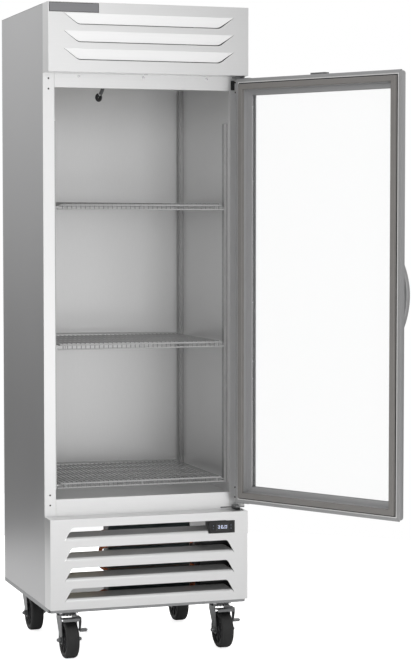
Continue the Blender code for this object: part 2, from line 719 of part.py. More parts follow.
def frame_section():
    """Section of the door frame: inner flange, gasket seat with its groove, glass pocket and rounded edge."""
    straight = DOOR_SIDE_DEPTH
    curve = DOOR_THICKNESS - straight
    section = [(0, 0), (0, DOOR_FLANGE), (DOOR_STEP, DOOR_FLANGE)]
    for i in range(ROUND_STEPS + 1):
        angle = math.pi / 2 * i / ROUND_STEPS
        section.append((DOOR_STEP + DOOR_ROUND * (1 - math.cos(angle)), straight + curve * math.sin(angle)))
    pocket_back = DOOR_THICKNESS - DOOR_LIP
    pocket_front = DOOR_INNER_LIP + DOOR_FLANGE
    seat = GASKET_SEAT[1] + GASKET_SEAT_CLEARANCE
    section += [(DOOR_LIP_EDGE, DOOR_THICKNESS), (DOOR_LIP_EDGE, pocket_back),
                (DOOR_POCKET_EDGE, pocket_back), (DOOR_POCKET_EDGE, pocket_front),
                (DOOR_LIP_EDGE, pocket_front), (DOOR_LIP_EDGE, DOOR_INNER_LIP),
                (seat, DOOR_INNER_LIP), (seat, 0), (GASKET_GROOVE[1], 0),
                (GASKET_GROOVE[1], GASKET_GROOVE_DEPTH), (GASKET_GROOVE[0], GASKET_GROOVE_DEPTH),
                (GASKET_GROOVE[0], 0)]
    return section


def door_point(s, t, z):
    """Door coordinates to the hinge empty's frame, with the door closed."""
    return (HINGE_EDGE_INSET - s, HINGE_FACE_INSET - t, z)


def stile(latch_side):
    """Upright of the door frame, mitred at both ends."""
    ends = []
    for top in (False, True):
        ring = []
        for s, t in frame_section():
            z = DOOR_TOP - s - GAP if top else DOOR_BOTTOM + s + GAP
            ring.append(door_point(DOOR_WIDTH - s if latch_side else s, t, z))
        ends.append(ring)
    return loft(ends)


def rail(at_top):
    """Cross piece of the door frame, mitred at both ends."""
    ends = []
    for latch_side in (False, True):
        ring = []
        for s, t in frame_section():
            z = DOOR_TOP - s if at_top else DOOR_BOTTOM + s
            ring.append(door_point(DOOR_WIDTH - s - GAP if latch_side else s + GAP, t, z))
        ends.append(ring)
    return loft(ends)


def door_ring(section):
    """Carry a section of (s, t) points all round the door, mitred at its four corners."""
    rings = []
    for far_side, at_top in ((False, False), (True, False), (True, True), (False, True)):
        ring = []
        for s, t in section:
            z = DOOR_TOP - s if at_top else DOOR_BOTTOM + s
            ring.append(door_point(DOOR_WIDTH - s if far_side else s, t, z))
        rings.append(ring)
    return loop_loft(rings)


def door_gasket():
    """Magnetic gasket: one mitred ring, held by a dart in the frame's groove."""
    near, far = GASKET_SEAT
    dart_near, dart_far = GASKET_GROOVE[0] + GAP, GASKET_GROOVE[1] - GAP
    dart_end = GASKET_GROOVE_DEPTH - GAP
    inset, drop = GASKET_SHOULDER
    shoulder = GASKET_DEPTH - drop
    section = [(near, -GAP), (dart_near, -GAP), (dart_near, dart_end), (dart_far, dart_end), (dart_far, -GAP),
               (far, -GAP), (far, -shoulder), (far - inset, -GASKET_DEPTH), (near + inset, -GASKET_DEPTH),
               (near, -shoulder)]
    return door_ring(section)


def glass_pane(depth):
    """One pane of the sealed unit, whose inner face is at the given depth."""
    edge = DOOR_POCKET_EDGE + GLASS_CLEARANCE
    low = door_point(DOOR_WIDTH - edge, depth + GLASS_THICKNESS, DOOR_BOTTOM + edge)
    high = door_point(edge, depth, DOOR_TOP - edge)
    return box(low, high)


def door_handle():
    """Bow handle on the latch stile, standing on two flat feet."""
    middle = (DOOR_BOTTOM + DOOR_TOP) / 2
    base = DOOR_THICKNESS + GAP
    outer_half = HANDLE_LENGTH / 2
    inner_half = outer_half - HANDLE_FOOT

    def bow(half, height):
        points = []
        for i in range(HANDLE_STEPS + 1):
            place = -1 + 2 * i / HANDLE_STEPS
            points.append((place * half, base + height * (1 - place * place)))
        return points
    outline = bow(outer_half, HANDLE_PROJECTION - GAP)
    outline += bow(inner_half, HANDLE_PROJECTION - HANDLE_GRIP)[::-1]
    near = DOOR_WIDTH - HANDLE_EDGE_DISTANCE + HANDLE_WIDTH / 2
    far = near - HANDLE_WIDTH
    return loft([[door_point(s, t, middle + rise) for rise, t in outline] for s in (near, far)])


def strike_middle():
    """Y of the strike's and the lock bolt's middle, with the door closed."""
    return DOOR_FACE_Y - sum(STRIKE_DEPTHS) / 2


def door_lock_strike():
    """Strike on the top rail, with a slot that takes the lock bolt."""
    low = DOOR_TOP - DOOR_STEP + GAP
    middle = DOOR_WIDTH / 2
    corner = door_point(middle + STRIKE_LENGTH / 2, STRIKE_DEPTHS[1], low)
    opposite = door_point(middle - STRIKE_LENGTH / 2, STRIKE_DEPTHS[0], STRIKE_TOP)
    body = box(corner, opposite)
    depth = sum(STRIKE_DEPTHS) / 2
    half_width, half_depth = STRIKE_SLOT[0] / 2, STRIKE_SLOT[1] / 2
    slot = box(door_point(middle + half_width, depth + half_depth, STRIKE_TOP - STRIKE_SLOT_DEPTH),
               door_point(middle - half_width, depth - half_depth, STRIKE_TOP + OVERSHOOT))
    return cut(body, slot)


def hinge_arm(at_top):
    """Plate on the end of the door that turns on the hinge pin."""
    if at_top:
        low = DOOR_TOP - DOOR_STEP + GAP
    else:
        low = DOOR_BOTTOM + DOOR_STEP - GAP - HINGE_ARM
    corner = door_point(HINGE_ARM_LENGTH, HINGE_ARM_DEPTHS[1], low)
    opposite = door_point(HINGE_ARM_EDGE, HINGE_ARM_DEPTHS[0], low + HINGE_ARM)
    bore = HINGE_PIN_RADIUS + PIN_CLEARANCE
    hole = cylinder(bore, "Z", (0, 0), low - OVERSHOOT, low + HINGE_ARM + OVERSHOOT)
    return cut(box(corner, opposite), hole)


# ---------------------------------------------------------------- hinges and lock on the cabinet

def hinge_bracket(at_top):
    """Angle bracket on the jamb whose shelf carries the door's hinge pin."""
    if at_top:
        shelf_low, shelf_high = TOP_BRACKET_HIGH - TOP_BRACKET_PLATE, TOP_BRACKET_HIGH
        leg = (shelf_low, shelf_high + BRACKET_LEG)
        washer = (DOOR_TOP - DOOR_STEP + HINGE_ARM + 2 * GAP, shelf_low + SINK)
        pin = (DOOR_TOP - DOOR_STEP + 2 * GAP, shelf_low + SINK)
        washer_radius = WASHER_RADIUS
    else:
        shelf_low, shelf_high = BOTTOM_BRACKET_HIGH - BOTTOM_BRACKET_PLATE, BOTTOM_BRACKET_HIGH
        leg = (shelf_low - BRACKET_LEG, shelf_high)
        washer = (shelf_high - SINK, DOOR_BOTTOM + DOOR_STEP - HINGE_ARM - 2 * GAP)
        pin = (shelf_high - SINK, DOOR_BOTTOM + DOOR_STEP - 2 * GAP)
        washer_radius = CAM_RADIUS
    left = BRACKET_RIGHT - BRACKET_WIDTH
    plate = box((left, PIVOT_Y - BRACKET_REACH, shelf_low), (BRACKET_RIGHT, -GAP, shelf_high))
    upright = box((left, -GAP - BRACKET_SHEET, leg[0]), (BRACKET_RIGHT, -GAP, leg[1]))
    centre = (PIVOT_X, PIVOT_Y)
    return union(plate, upright, cylinder(washer_radius, "Z", centre, *washer, 20),
                 cylinder(HINGE_PIN_RADIUS, "Z", centre, *pin))


def lock_bolt():
    """Bolt that drops from the upper panel into the strike; drawn back, only its tip shows."""
    half_width, half_depth = BOLT_SIZE[0] / 2, BOLT_SIZE[1] / 2
    y = strike_middle()
    return box((-half_width, y - half_depth, BOLT_TIP), (half_width, y + half_depth, BOLT_TIP + BOLT_SIZE[2]))


# ---------------------------------------------------------------- casters
# A caster's shapes are made around its swivel axis, with the wheel towards the front.

def caster_plate():
    half_x, half_y, thickness = CASTER_PLATE[0] / 2, CASTER_PLATE[1] / 2, CASTER_PLATE[2]
    top = BASE_BOTTOM - GAP
    plate = box((-half_x, -half_y, top - thickness), (half_x, half_y, top))
    race = cylinder(RACE_RADIUS, "Z", (0, 0), top - thickness - RACE_HEIGHT, top - thickness + SINK, 20)
    return union(plate, race)


def fork_top():
    return BASE_BOTTOM - CASTER_PLATE[2] - RACE_HEIGHT - 2 * GAP


def caster_fork():
    """Swivel head, two side plates and the axle bolt, as one welded piece."""
    inner = WHEEL_WIDTH / 2 + FORK_CLEARANCE
    outer = inner + FORK_SHEET
    top = fork_top()
    plate_top = top - FORK_HEAD_HEIGHT
    plate_low = plate_top - FORK_SHEET
    head = cylinder(FORK_HEAD_RADIUS, "Z", (0, 0), plate_top - SINK, top, 20)
    bridge = box((-outer, FORK_FRONT, plate_low), (outer, FORK_REAR, plate_top))
    radius = FORK_FOOT_RADIUS
    foot = [(-CASTER_OFFSET + radius * math.cos(a), WHEEL_RADIUS + radius * math.sin(a))
            for a in (math.radians(180 + 24 * i) for i in range(8))]
    leg_outline = [(FORK_REAR, plate_top - SINK), (FORK_FRONT, plate_top - SINK)] + foot
    leg_outline.append((FORK_REAR, plate_low - radius))
    legs = [prism(leg_outline, "X", *sorted((side * inner, side * outer))) for side in (-1, 1)]
    end = outer + AXLE_PROUD
    axle = cylinder(AXLE_RADIUS, "X", (-CASTER_OFFSET, WHEEL_RADIUS), -end, end, 12)
    return union(bridge, head, *legs, axle)


def caster_wheel():
    """Tyre and hub around the origin, turning on X."""
    half = WHEEL_WIDTH / 2
    tread = WHEEL_RADIUS
    bore = AXLE_RADIUS + PIN_CLEARANCE
    side = [(bore, half), (HUB_RADIUS, half), (HUB_RADIUS + 0.004, half - WHEEL_RECESS),
            (tread - TYRE_DEPTH, half - WHEEL_RECESS), (tread - TYRE_SHOULDER, half - 0.001),
            (tread, half - TYRE_SHOULDER)]
    profile = [(radius, -level) for radius, level in side] + side[::-1]
    return turned(profile, "X", (0.0, 0.0), 24)


def brake_pedal():
    """Brake lever beside the fork, around its own pivot, with a tab to step on."""
    side = WHEEL_WIDTH / 2 + FORK_CLEARANCE + FORK_SHEET + PEDAL_CLEARANCE
    arm = box((side, -0.030, -0.007), (side + PEDAL_SHEET, 0.006, 0.007))
    tab = box((side + 0.001, -0.034, 0.0), (side + 0.033, -0.012, 0.003))
    return union(arm, tab)


# ---------------------------------------------------------------- refrigeration system

def condenser_middle():
    return (sum(CONDENSER_X) / 2, UNIT_FLOOR + CONDENSER_HEIGHT / 2)


def condenser_coil():
    top = UNIT_FLOOR + CONDENSER_HEIGHT
    return box((CONDENSER_X[0], CONDENSER_Y[0], UNIT_FLOOR), (CONDENSER_X[1], CONDENSER_Y[1], top))


def condenser_fan_shroud():
    near = CONDENSER_Y[1] + GAP
    far = near + SHROUD_DEPTH
    top = UNIT_FLOOR + CONDENSER_HEIGHT
    body = open_box((CONDENSER_X[0], near, UNIT_FLOOR), (CONDENSER_X[1], far, top),
                    (CONDENSER_X[0] + SHEET, near, UNIT_FLOOR + SHEET),
                    (CONDENSER_X[1] - SHEET, far - SHEET, top - SHEET), "Y", -1)
    return cut(body, cylinder(SHROUD_HOLE_RADIUS, "Y", condenser_middle(), near, far + OVERSHOOT, 28))


def fan(axis, radius, hub_radius):
    """Hub with tilted blades, centred on the origin and turning on the given axis."""
    hub = cylinder(hub_radius, "Z", (0, 0), -FAN_DEPTH / 2, FAN_DEPTH / 2, 16)
    corners = ((-1, -1), (1, -1), (1, 1), (-1, 1))
    parts = []
    for i in range(FAN_BLADES):
        inner, outer = hub_radius * 0.7, radius
        half = 0.30 * radius
        root = [(inner, side * half / 2, level * FLAP_SHEET) for side, level in corners]
        tip = [(outer, side * half, level * FLAP_SHEET) for side, level in corners]
        tilt = Matrix.Rotation(math.radians(FAN_TILT), 4, "X")
        shape = loft([root, tip])
        shape.transform(Matrix.Rotation(2 * math.pi * i / FAN_BLADES, 4, "Z") @ tilt)
        parts.append(shape)
    made = union(hub, *parts)
    if axis == "Y":
        made.transform(Matrix.Rotation(math.radians(90), 4, "X"))
    return made


def compressor():
    """Welded steel pot on a flat foot."""
    low = UNIT_FLOOR
    height = COMPRESSOR_HEIGHT
    radius = COMPRESSOR_RADIUS
    profile = [(0, low), (radius * 0.95, low), (radius * 0.95, low + 0.006), (radius * 0.8, low + 0.010),
               (radius * 0.96, low + 0.035), (radius, low + 0.060), (radius, low + height * 0.55),
               (radius * 1.04, low + height * 0.56), (radius * 1.04, low + height * 0.60),
               (radius, low + height * 0.61), (radius * 0.92, low + height * 0.82),
               (radius * 0.62, low + height * 0.96), (0, low + height)]
    return turned(profile, "Z", COMPRESSOR_AT, 24)


def evaporator_housing():
    """Cover over the evaporator, on top of the insulated ceiling."""
    low = FOAM_TOP + GAP
    half, wall = EVAPORATOR_HALF_WIDTH, EVAPORATOR_WALL
    near, far = EVAPORATOR_Y
    return open_box((-half, near, low), (half, far, low + EVAPORATOR_HEIGHT),
                    (wall - half, near + wall, low),
                    (half - wall, far - wall, low + EVAPORATOR_HEIGHT - wall), "Z", -1)


def evaporator_coil():
    half = EVAPORATOR_HALF_WIDTH - COIL_END
    return box((-half, COIL_Y[0], COIL_Z[0]), (half, COIL_Y[1], COIL_Z[1]))


# ---------------------------------------------------------------- assembly

def build_shell(finishes, root):
    steel, bright = finishes["painted_steel"], finishes["bright_steel"]
    add_object("left_side_panel", side_panel(-1), steel, root)
    add_object("right_side_panel", side_panel(1), steel, root)
    add_object("back_panel", back_panel(), finishes["galvanised"], root)
    add_object("top_panel", top_panel(), finishes["galvanised"], root)
    add_object("base_pan", base_pan(), finishes["galvanised"], root)
    add_object("insulation_foam", insulation_foam(), finishes["foam"], root)
    add_object("inner_liner", inner_liner(), finishes["liner"], root)
    add_object("left_jamb", jamb(-1), bright, root)
    add_object("right_jamb", jamb(1), bright, root)
    add_object("header_strip", header_strip(), bright, root)
    add_object("sill_strip", sill_strip(), bright, root)
    add_object("upper_louver_panel", upper_louver_panel(), bright, root)
    add_object("lower_louver_panel", lower_louver_panel(), bright, root)
    add_object("top_hinge_bracket", hinge_bracket(True), finishes["zinc"], root)
    add_object("bottom_hinge_bracket", hinge_bracket(False), finishes["zinc"], root)


def build_inside(finishes, root):
    for name, side in (("left", -1), ("right", 1)):
        add_object(name + "_front_pilaster", pilaster(side, FRONT_PILASTER_Y, FRONT_PILASTER_TOP),
                   finishes["bright_steel"], root)
        add_object(name + "_rear_pilaster", pilaster(side, REAR_PILASTER_Y, REAR_PILASTER_TOP),
                   finishes["bright_steel"], root)
    for name, height in zip(("top", "middle", "bottom"), SHELF_HEIGHTS):
        add_object(name + "_shelf", shelf(height), finishes["wire"], root)


def build_door(finishes, root):
    """Everything that swings, made closed around the hinge axis and then turned open."""
    hinge = add_empty("door_hinge_axis", (PIVOT_X, PIVOT_Y, 0), root)
    hinge.rotation_euler = (0, 0, math.radians(DOOR_OPEN_ANGLE))
    metal = finishes["aluminium"]
    add_object("door_hinge_stile", stile(False), metal, hinge)
    add_object("door_latch_stile", stile(True), metal, hinge)
    add_object("door_top_rail", rail(True), metal, hinge)
    add_object("door_bottom_rail", rail(False), metal, hinge)
    inner_depth = DOOR_INNER_LIP + DOOR_FLANGE + GAP
    outer_depth = DOOR_THICKNESS - DOOR_LIP - GAP - GLASS_THICKNESS
    add_object("door_inner_glass", glass_pane(inner_depth), finishes["glass"], hinge)
    add_object("door_outer_glass", glass_pane(outer_depth), finishes["glass"], hinge)
    add_object("door_gasket", door_gasket(), finishes["rubber"], hinge)
    add_object("door_handle", door_handle(), metal, hinge, smooth=True)
    add_object("door_lock_strike", door_lock_strike(), finishes["zinc"], hinge)
    add_object("door_hinge_arm_top", hinge_arm(True), finishes["zinc"], hinge)
    add_object("door_hinge_arm_bottom", hinge_arm(False), finishes["zinc"], hinge)


def build_casters(finishes, root):
    places = {"left_front": (-CASTER_X, CASTER_FRONT_Y), "right_front": (CASTER_X, CASTER_FRONT_Y),
              "left_rear": (-CASTER_X, CASTER_REAR_Y), "right_rear": (CASTER_X, CASTER_REAR_Y)}
    for name, (x, y) in places.items():
        swivel = add_empty(name + "_swivel_axis", (x, y, 0), root)
        add_object(name + "_caster_plate", caster_plate(), finishes["zinc"], swivel)
        add_object(name + "_caster_fork", caster_fork(), finishes["zinc"], swivel, smooth=True)
        add_object(name + "_caster_wheel", caster_wheel(), finishes["tyre"], swivel, smooth=True,
                   location=(0, -CASTER_OFFSET, WHEEL_RADIUS))
        if name.endswith("front"):
            add_object(name + "_brake_pedal", brake_pedal(), finishes["zinc"], swivel,
                       location=(0, 0, PEDAL_HEIGHT))


def build_systems(finishes, root):
    """Controller and its buttons, the lock bolt and the refrigeration system."""
    add_object("controller_body", controller_body(), finishes["black_plastic"], root)
    for i, centre in enumerate(button_centres()):
        add_object("controller_button_%d" % (i + 1), controller_button(centre), finishes["black_plastic"],
                   root)
    add_object("lock_bolt", lock_bolt(), finishes["zinc"], root)
    add_object("condenser_coil", condenser_coil(), finishes["coil"], root)
    add_object("condenser_fan_shroud", condenser_fan_shroud(), finishes["galvanised"], root)
    middle = condenser_middle()
    fan_y = CONDENSER_Y[1] + SHROUD_DEPTH + CONDENSER_FAN_OFFSET
    add_object("condenser_fan", fan("Y", CONDENSER_FAN_RADIUS, CONDENSER_FAN_HUB),
               finishes["black_plastic"], root, location=(middle[0], fan_y, middle[1]))
    add_object("compressor", compressor(), finishes["black_enamel"], root, smooth=True)
    add_object("evaporator_housing", evaporator_housing(), finishes["galvanised"], root)
    add_object("evaporator_coil", evaporator_coil(), finishes["coil"], root)
    add_object("evaporator_fan", fan("Z", EVAPORATOR_FAN_RADIUS, EVAPORATOR_FAN_HUB),
               finishes["black_plastic"], root,
               location=(*EVAPORATOR_FAN_AT, FOAM_TOP + EVAPORATOR_FAN_RISE))


def centre_on_floor(root):
    """Move the model so that its origin is the bottom centre of the box around it."""
    bpy.context.view_layer.update()
    corners = [made.matrix_world @ vertex.co for made in bpy.data.objects if made.type == "MESH"
               for vertex in made.data.vertices]
    low = [min(corner[i] for corner in corners) for i in range(3)]
    high = [max(corner[i] for corner in corners) for i in range(3)]
    root.location = (-(low[0] + high[0]) / 2, -(low[1] + high[1]) / 2, -low[2])


def main():
    for old in list(bpy.data.objects):
        bpy.data.objects.remove(old)
    finishes = make_finishes()
    root = add_empty("cabinet", (0, 0, 0))
    build_shell(finishes, root)
    build_inside(finishes, root)
    build_door(finishes, root)
    build_casters(finishes, root)
    build_systems(finishes, root)
    centre_on_floor(root)


main()
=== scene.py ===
"""Finished look of a one-section reach-in refrigerator with a glass door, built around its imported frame."""
import json
import math

import bmesh
import bpy
from bpy.props import FloatProperty, FloatVectorProperty, IntProperty, PointerProperty
from mathutils import Matrix, Vector

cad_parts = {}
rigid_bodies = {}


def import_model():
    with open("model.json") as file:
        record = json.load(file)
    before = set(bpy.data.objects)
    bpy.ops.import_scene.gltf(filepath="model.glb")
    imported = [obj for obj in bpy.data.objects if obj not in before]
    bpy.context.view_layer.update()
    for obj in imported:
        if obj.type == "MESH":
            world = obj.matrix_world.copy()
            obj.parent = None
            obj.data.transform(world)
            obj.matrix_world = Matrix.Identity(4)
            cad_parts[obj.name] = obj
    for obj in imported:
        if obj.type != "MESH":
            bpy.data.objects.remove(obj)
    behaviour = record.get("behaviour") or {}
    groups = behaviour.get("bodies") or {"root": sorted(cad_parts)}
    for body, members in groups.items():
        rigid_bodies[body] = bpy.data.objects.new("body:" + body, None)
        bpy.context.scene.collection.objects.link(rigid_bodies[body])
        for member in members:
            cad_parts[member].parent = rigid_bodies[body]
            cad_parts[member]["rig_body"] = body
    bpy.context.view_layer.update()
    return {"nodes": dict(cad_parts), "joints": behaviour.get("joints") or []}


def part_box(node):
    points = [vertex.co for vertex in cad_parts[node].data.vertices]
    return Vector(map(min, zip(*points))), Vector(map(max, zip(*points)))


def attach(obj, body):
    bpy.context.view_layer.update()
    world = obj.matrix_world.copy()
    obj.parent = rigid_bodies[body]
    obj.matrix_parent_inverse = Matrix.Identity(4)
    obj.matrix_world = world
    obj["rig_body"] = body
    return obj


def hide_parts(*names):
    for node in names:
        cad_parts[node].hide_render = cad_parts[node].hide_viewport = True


bl_info = {
    "name": "Reach-in refrigerator",
    "version": (1, 0, 0),
    "blender": (4, 5, 0),
    "location": "View3D > Sidebar > Refrigerator",
    "description": "Builds the sheet metal, door, shelves, machinery and casters of a reach-in refrigerator",
    "category": "Add Mesh",
}

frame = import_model()
NODES = frame["nodes"]
JOINTS = {joint["name"]: joint for joint in frame["joints"]}

# ---- sizes that several pieces share (metres) ----
SHEET = 0.0012
HAIR = 0.0003
WELD = 0.00002
CREASE = 32.0

# ---- the cabinet's own directions: its centre line and the front plane of its jambs ----
CENTRE_X = sum(corner.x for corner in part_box("header_strip")) / 2
JAMB_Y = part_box("left_jamb")[0].y

# ---- the door, closed, around its hinge axis ----
DOOR_PIVOT = Vector(JOINTS["door_swing"]["pos_m"])
DOOR_ANGLE = -math.radians(JOINTS["door_swing"]["range_deg"][0])
DOOR_PLACE = Matrix.Translation((DOOR_PIVOT.x, DOOR_PIVOT.y, 0)) @ Matrix.Rotation(DOOR_ANGLE, 4, "Z")
CASTERS = ("left_front", "right_front", "left_rear", "right_rear")
# tyre's side, from its bead out to its tread: depth under the tread and distance inside the side
TYRE_SIDE = ((0.0185, 0.0075), (0.0165, 0.0035), (0.012, 0.0012), (0.0075, 0.0010), (0.0035, 0.0030),
             (0.0012, 0.0065), (0.0001, 0.0110))


# ---------------------------------------------------------------- settings

def length(name, description, default, low=0.0001, high=1.0):
    return FloatProperty(name=name, description=description, default=default, min=low, max=high,
                         unit="LENGTH", precision=4)


def colour(name, description, default):
    return FloatVectorProperty(name=name, description=description, default=default, size=3, min=0, max=1,
                               subtype="COLOR")


def power(name, description, default):
    return FloatProperty(name=name, description=description, default=default, unit="POWER")


def share(name, description, default):
    return FloatProperty(name=name, description=description, default=default, min=0, max=1, subtype="FACTOR")


class SheetSettings(bpy.types.PropertyGroup):
    """Colours and edges of the cabinet's sheet metal"""
    front: colour("Front steel", "Colour of the brushed front panels and trims", (0.76, 0.76, 0.76))
    side: colour("Side steel", "Colour of the outer side sheets", (0.58, 0.58, 0.585))
    liner: colour("Liner", "Colour of the inner walls", (0.70, 0.70, 0.70))
    edge: length("Edge radius", "Radius on the edges of folded sheet", 0.0005, high=0.003)
    front_roughness: share("Front roughness", "How soft the front steel's reflections are", 0.34)


class LouverSettings(bpy.types.PropertyGroup):
    """Louvers pressed into the panels above and below the door"""
    upper_bend: length("Upper bend", "Radius of the bend along the upper louvers", 0.004, high=0.03)
    lower_bend: length("Lower bend", "Radius of the bend along the lower louvers", 0.012, high=0.03)
    upper_angle: FloatProperty(name="Upper angle", description="Lean of the upper flaps",
                               default=math.radians(12), subtype="ANGLE")
    lower_angle: FloatProperty(name="Lower angle", description="Lean of the lower flaps",
                               default=math.radians(65), subtype="ANGLE")


class ShelfSettings(bpy.types.PropertyGroup):
    """Wire shelves, their clips and the slotted uprights"""
    wires: IntProperty(name="Wires", description="Wires from front to back in each shelf", default=36, min=4)
    wire: length("Wire", "Thickness of a deck wire", 0.0028, high=0.01)
    rod: length("Rod", "Thickness of a frame rod", 0.006, high=0.02)
    coat: colour("Coating", "Colour of the coated wire", (0.27, 0.27, 0.27))
    rod_coat: colour("Rod coating", "Colour of the coated rods", (0.48, 0.48, 0.48))
    slot_pitch: length("Slot pitch", "Distance between the slots of an upright", 0.0254, high=0.1)


class DoorSettings(bpy.types.PropertyGroup):
    """Door frame, gasket and handle"""
    frame: colour("Frame", "Colour of the anodised door frame", (0.45, 0.45, 0.455))
    gasket: colour("Gasket", "Colour of the door gasket", (0.235, 0.225, 0.215))
    handle_width: length("Handle width", "Width of the bow handle", 0.0145, high=0.04)


class MachineSettings(bpy.types.PropertyGroup):
    """Condenser, compressor, fans and evaporator"""
    fin_pitch: length("Fin pitch", "Distance between the fins of a coil", 0.0032, high=0.02)
    tube: length("Tube", "Thickness of the copper tube", 0.0080, high=0.02)
    blades: IntProperty(name="Blades", description="Blades on each fan", default=5, min=2)
    copper: colour("Copper", "Colour of the copper tube", (0.62, 0.19, 0.08))


class CasterSettings(bpy.types.PropertyGroup):
    """Swivel casters"""
    tyre: colour("Tyre", "Colour of the tyres", (0.016, 0.016, 0.016))
    zinc: colour("Zinc", "Colour of the plated steel", (0.20, 0.203, 0.206))
    balls: IntProperty(name="Balls", description="Balls in each swivel race", default=18, min=6)


class StageSettings(bpy.types.PropertyGroup):
    """Floor, lights and camera"""
    key_power: power("Key power", "Power of the strip light", 17.0)
    fill_power: power("Fill power", "Power of the broad light", 40.0)
    bounce_power: power("Bounce power", "Power of the low light", 9.0)
    floor_radius: length("Floor radius", "Radius of the pale floor", 2.6, high=20.0)


# ---------------------------------------------------------------- shader maths

class Wire:
    """A socket that shader maths can be written with."""

    def __init__(self, graph, socket):
        self.graph = graph
        self.socket = socket

    def maths(self, operation, *values):
        return self.graph.node("ShaderNodeMath", {"operation": operation}, dict(enumerate(values)))

    def __add__(self, other):
        return self.maths("ADD", self, other)

    def __radd__(self, other):
        return self.maths("ADD", other, self)

    def __sub__(self, other):
        return self.maths("SUBTRACT", self, other)

    def __rsub__(self, other):
        return self.maths("SUBTRACT", other, self)

    def __mul__(self, other):
        return self.maths("MULTIPLY", self, other)

    def __rmul__(self, other):
        return self.maths("MULTIPLY", other, self)

    def __truediv__(self, other):
        return self.maths("DIVIDE", self, other)

    def __rtruediv__(self, other):
        return self.maths("DIVIDE", other, self)

    def __gt__(self, other):
        return self.maths("GREATER_THAN", self, other)

    def __lt__(self, other):
        return self.maths("LESS_THAN", self, other)


class Graph:
    """A shader node tree that is built by calls."""

    def __init__(self, tree):
        self.tree = tree

    def node(self, kind, settings=None, values=None, output=0):
        made = self.tree.nodes.new(kind)
        for key, value in (settings or {}).items():
            if key == "stops":
                self.set_stops(made.color_ramp, value)
            else:
                setattr(made, key, value)
        for key, value in (values or {}).items():
            if isinstance(value, Wire):
                self.tree.links.new(value.socket, made.inputs[key])
            else:
                made.inputs[key].default_value = value
        return Wire(self, made.outputs[output])

    def set_stops(self, ramp, stops):
        while len(ramp.elements) < len(stops):
            ramp.elements.new(1.0)
        for element, (place, value) in zip(ramp.elements, stops):
            element.position = place
            element.color = (value, value, value, 1) if isinstance(value, (int, float)) else (*value, 1)

    def mix(self, mask, first, second):
        """Mix of two colours by a mask."""
        return self.node("ShaderNodeMix", {"data_type": "RGBA"}, {0: mask, 6: first, 7: second}, output=2)

    def noise(self, place, scale, detail=3.0, roughness=0.5):
        values = {"Vector": place, "Scale": scale, "Detail": detail, "Roughness": roughness}
        return self.node("ShaderNodeTexNoise", None, values)


class Finish(Graph):
    """A Principled material with its own node tree."""

    def __init__(self, name, base, roughness, metallic=0.0, **plain):
        self.material = bpy.data.materials.new(name)
        self.material.use_nodes = True
        super().__init__(self.material.node_tree)
        self.shader = self.tree.nodes["Principled BSDF"]
        self.place = self.node("ShaderNodeTexCoord", None, None, "Object")
        self.base = (*base, 1.0)
        self.set("Base Color", self.base)
        self.set("Roughness", roughness)
        self.set("Metallic", metallic)
        for key, value in plain.items():
            self.set(key.replace("_", " "), value)

    def set(self, name, value):
        if isinstance(value, Wire):
            self.tree.links.new(value.socket, self.shader.inputs[name])
        else:
            self.shader.inputs[name].default_value = value

    def stretched(self, scale):
        return self.node("ShaderNodeMapping", None, {"Vector": self.place, "Scale": scale})

    def shade(self, mask, low, high):
        """Vary the base colour between two multiples of itself."""
        dark = tuple(channel * low for channel in self.base[:3]) + (1.0,)
        light = tuple(min(1.0, channel * high) for channel in self.base[:3]) + (1.0,)
        self.set("Base Color", self.mix(mask, dark, light))

    def bump(self, height, distance, strength=1.0):
        values = {"Height": height, "Distance": distance, "Strength": strength}
        self.set("Normal", self.node("ShaderNodeBump", None, values))


# ---------------------------------------------------------------- finishes

def brushed_steel(name, base, roughness, grain, metallic=0.85, contrast=0.05, speckle=0.0):
    """Sheet with fine brush lines; grain is how many times finer the lines are along X, Y and Z."""
    finish = Finish(name, base, roughness, metallic)
    lines = finish.noise(finish.stretched(grain), 1.0, 4.0, 0.6)
    clouds = finish.noise(finish.place, 2.3, 2.0)
    grit = finish.noise(finish.place, 900.0, 1.0)
    mask = lines * (0.75 - speckle) + clouds * 0.25 + grit * speckle
    finish.shade(mask, 1 - contrast, 1 + contrast)
    finish.set("Roughness", roughness - 0.07 + lines * 0.08 + clouds * 0.06)
    finish.bump(lines, 0.00003, 0.35)
    return finish.material


def spangled_zinc(name, base, roughness):
    """Galvanised sheet: crystals of slightly different greys."""
    finish = Finish(name, base, roughness, 0.75)
    values = {"Vector": finish.place, "Scale": 60.0, "Randomness": 1.0}
    crystals = finish.node("ShaderNodeTexVoronoi", {"feature": "F1"}, values, "Color")
    grey = finish.node("ShaderNodeRGBToBW", None, {0: crystals})
    clouds = finish.noise(finish.place, 5.0, 3.0)
    finish.shade(grey * 0.7 + clouds * 0.3, 0.78, 1.15)
    finish.set("Roughness", roughness - 0.08 + grey * 0.16)
    finish.bump(grey, 0.00004, 0.3)
    return finish.material


def plated_steel(name, base, roughness=0.32):
    """Zinc plating: faint clouds, fine grit and a darker tone in small pits."""
    finish = Finish(name, base, roughness, 0.8)
    clouds = finish.noise(finish.place, 35.0, 4.0)
    grit = finish.noise(finish.place, 700.0, 2.0)
    finish.shade(clouds * 0.7 + grit * 0.3, 0.86, 1.10)
    finish.set("Roughness", roughness - 0.08 + clouds * 0.16)
    finish.bump(grit, 0.00004, 0.3)
    return finish.material


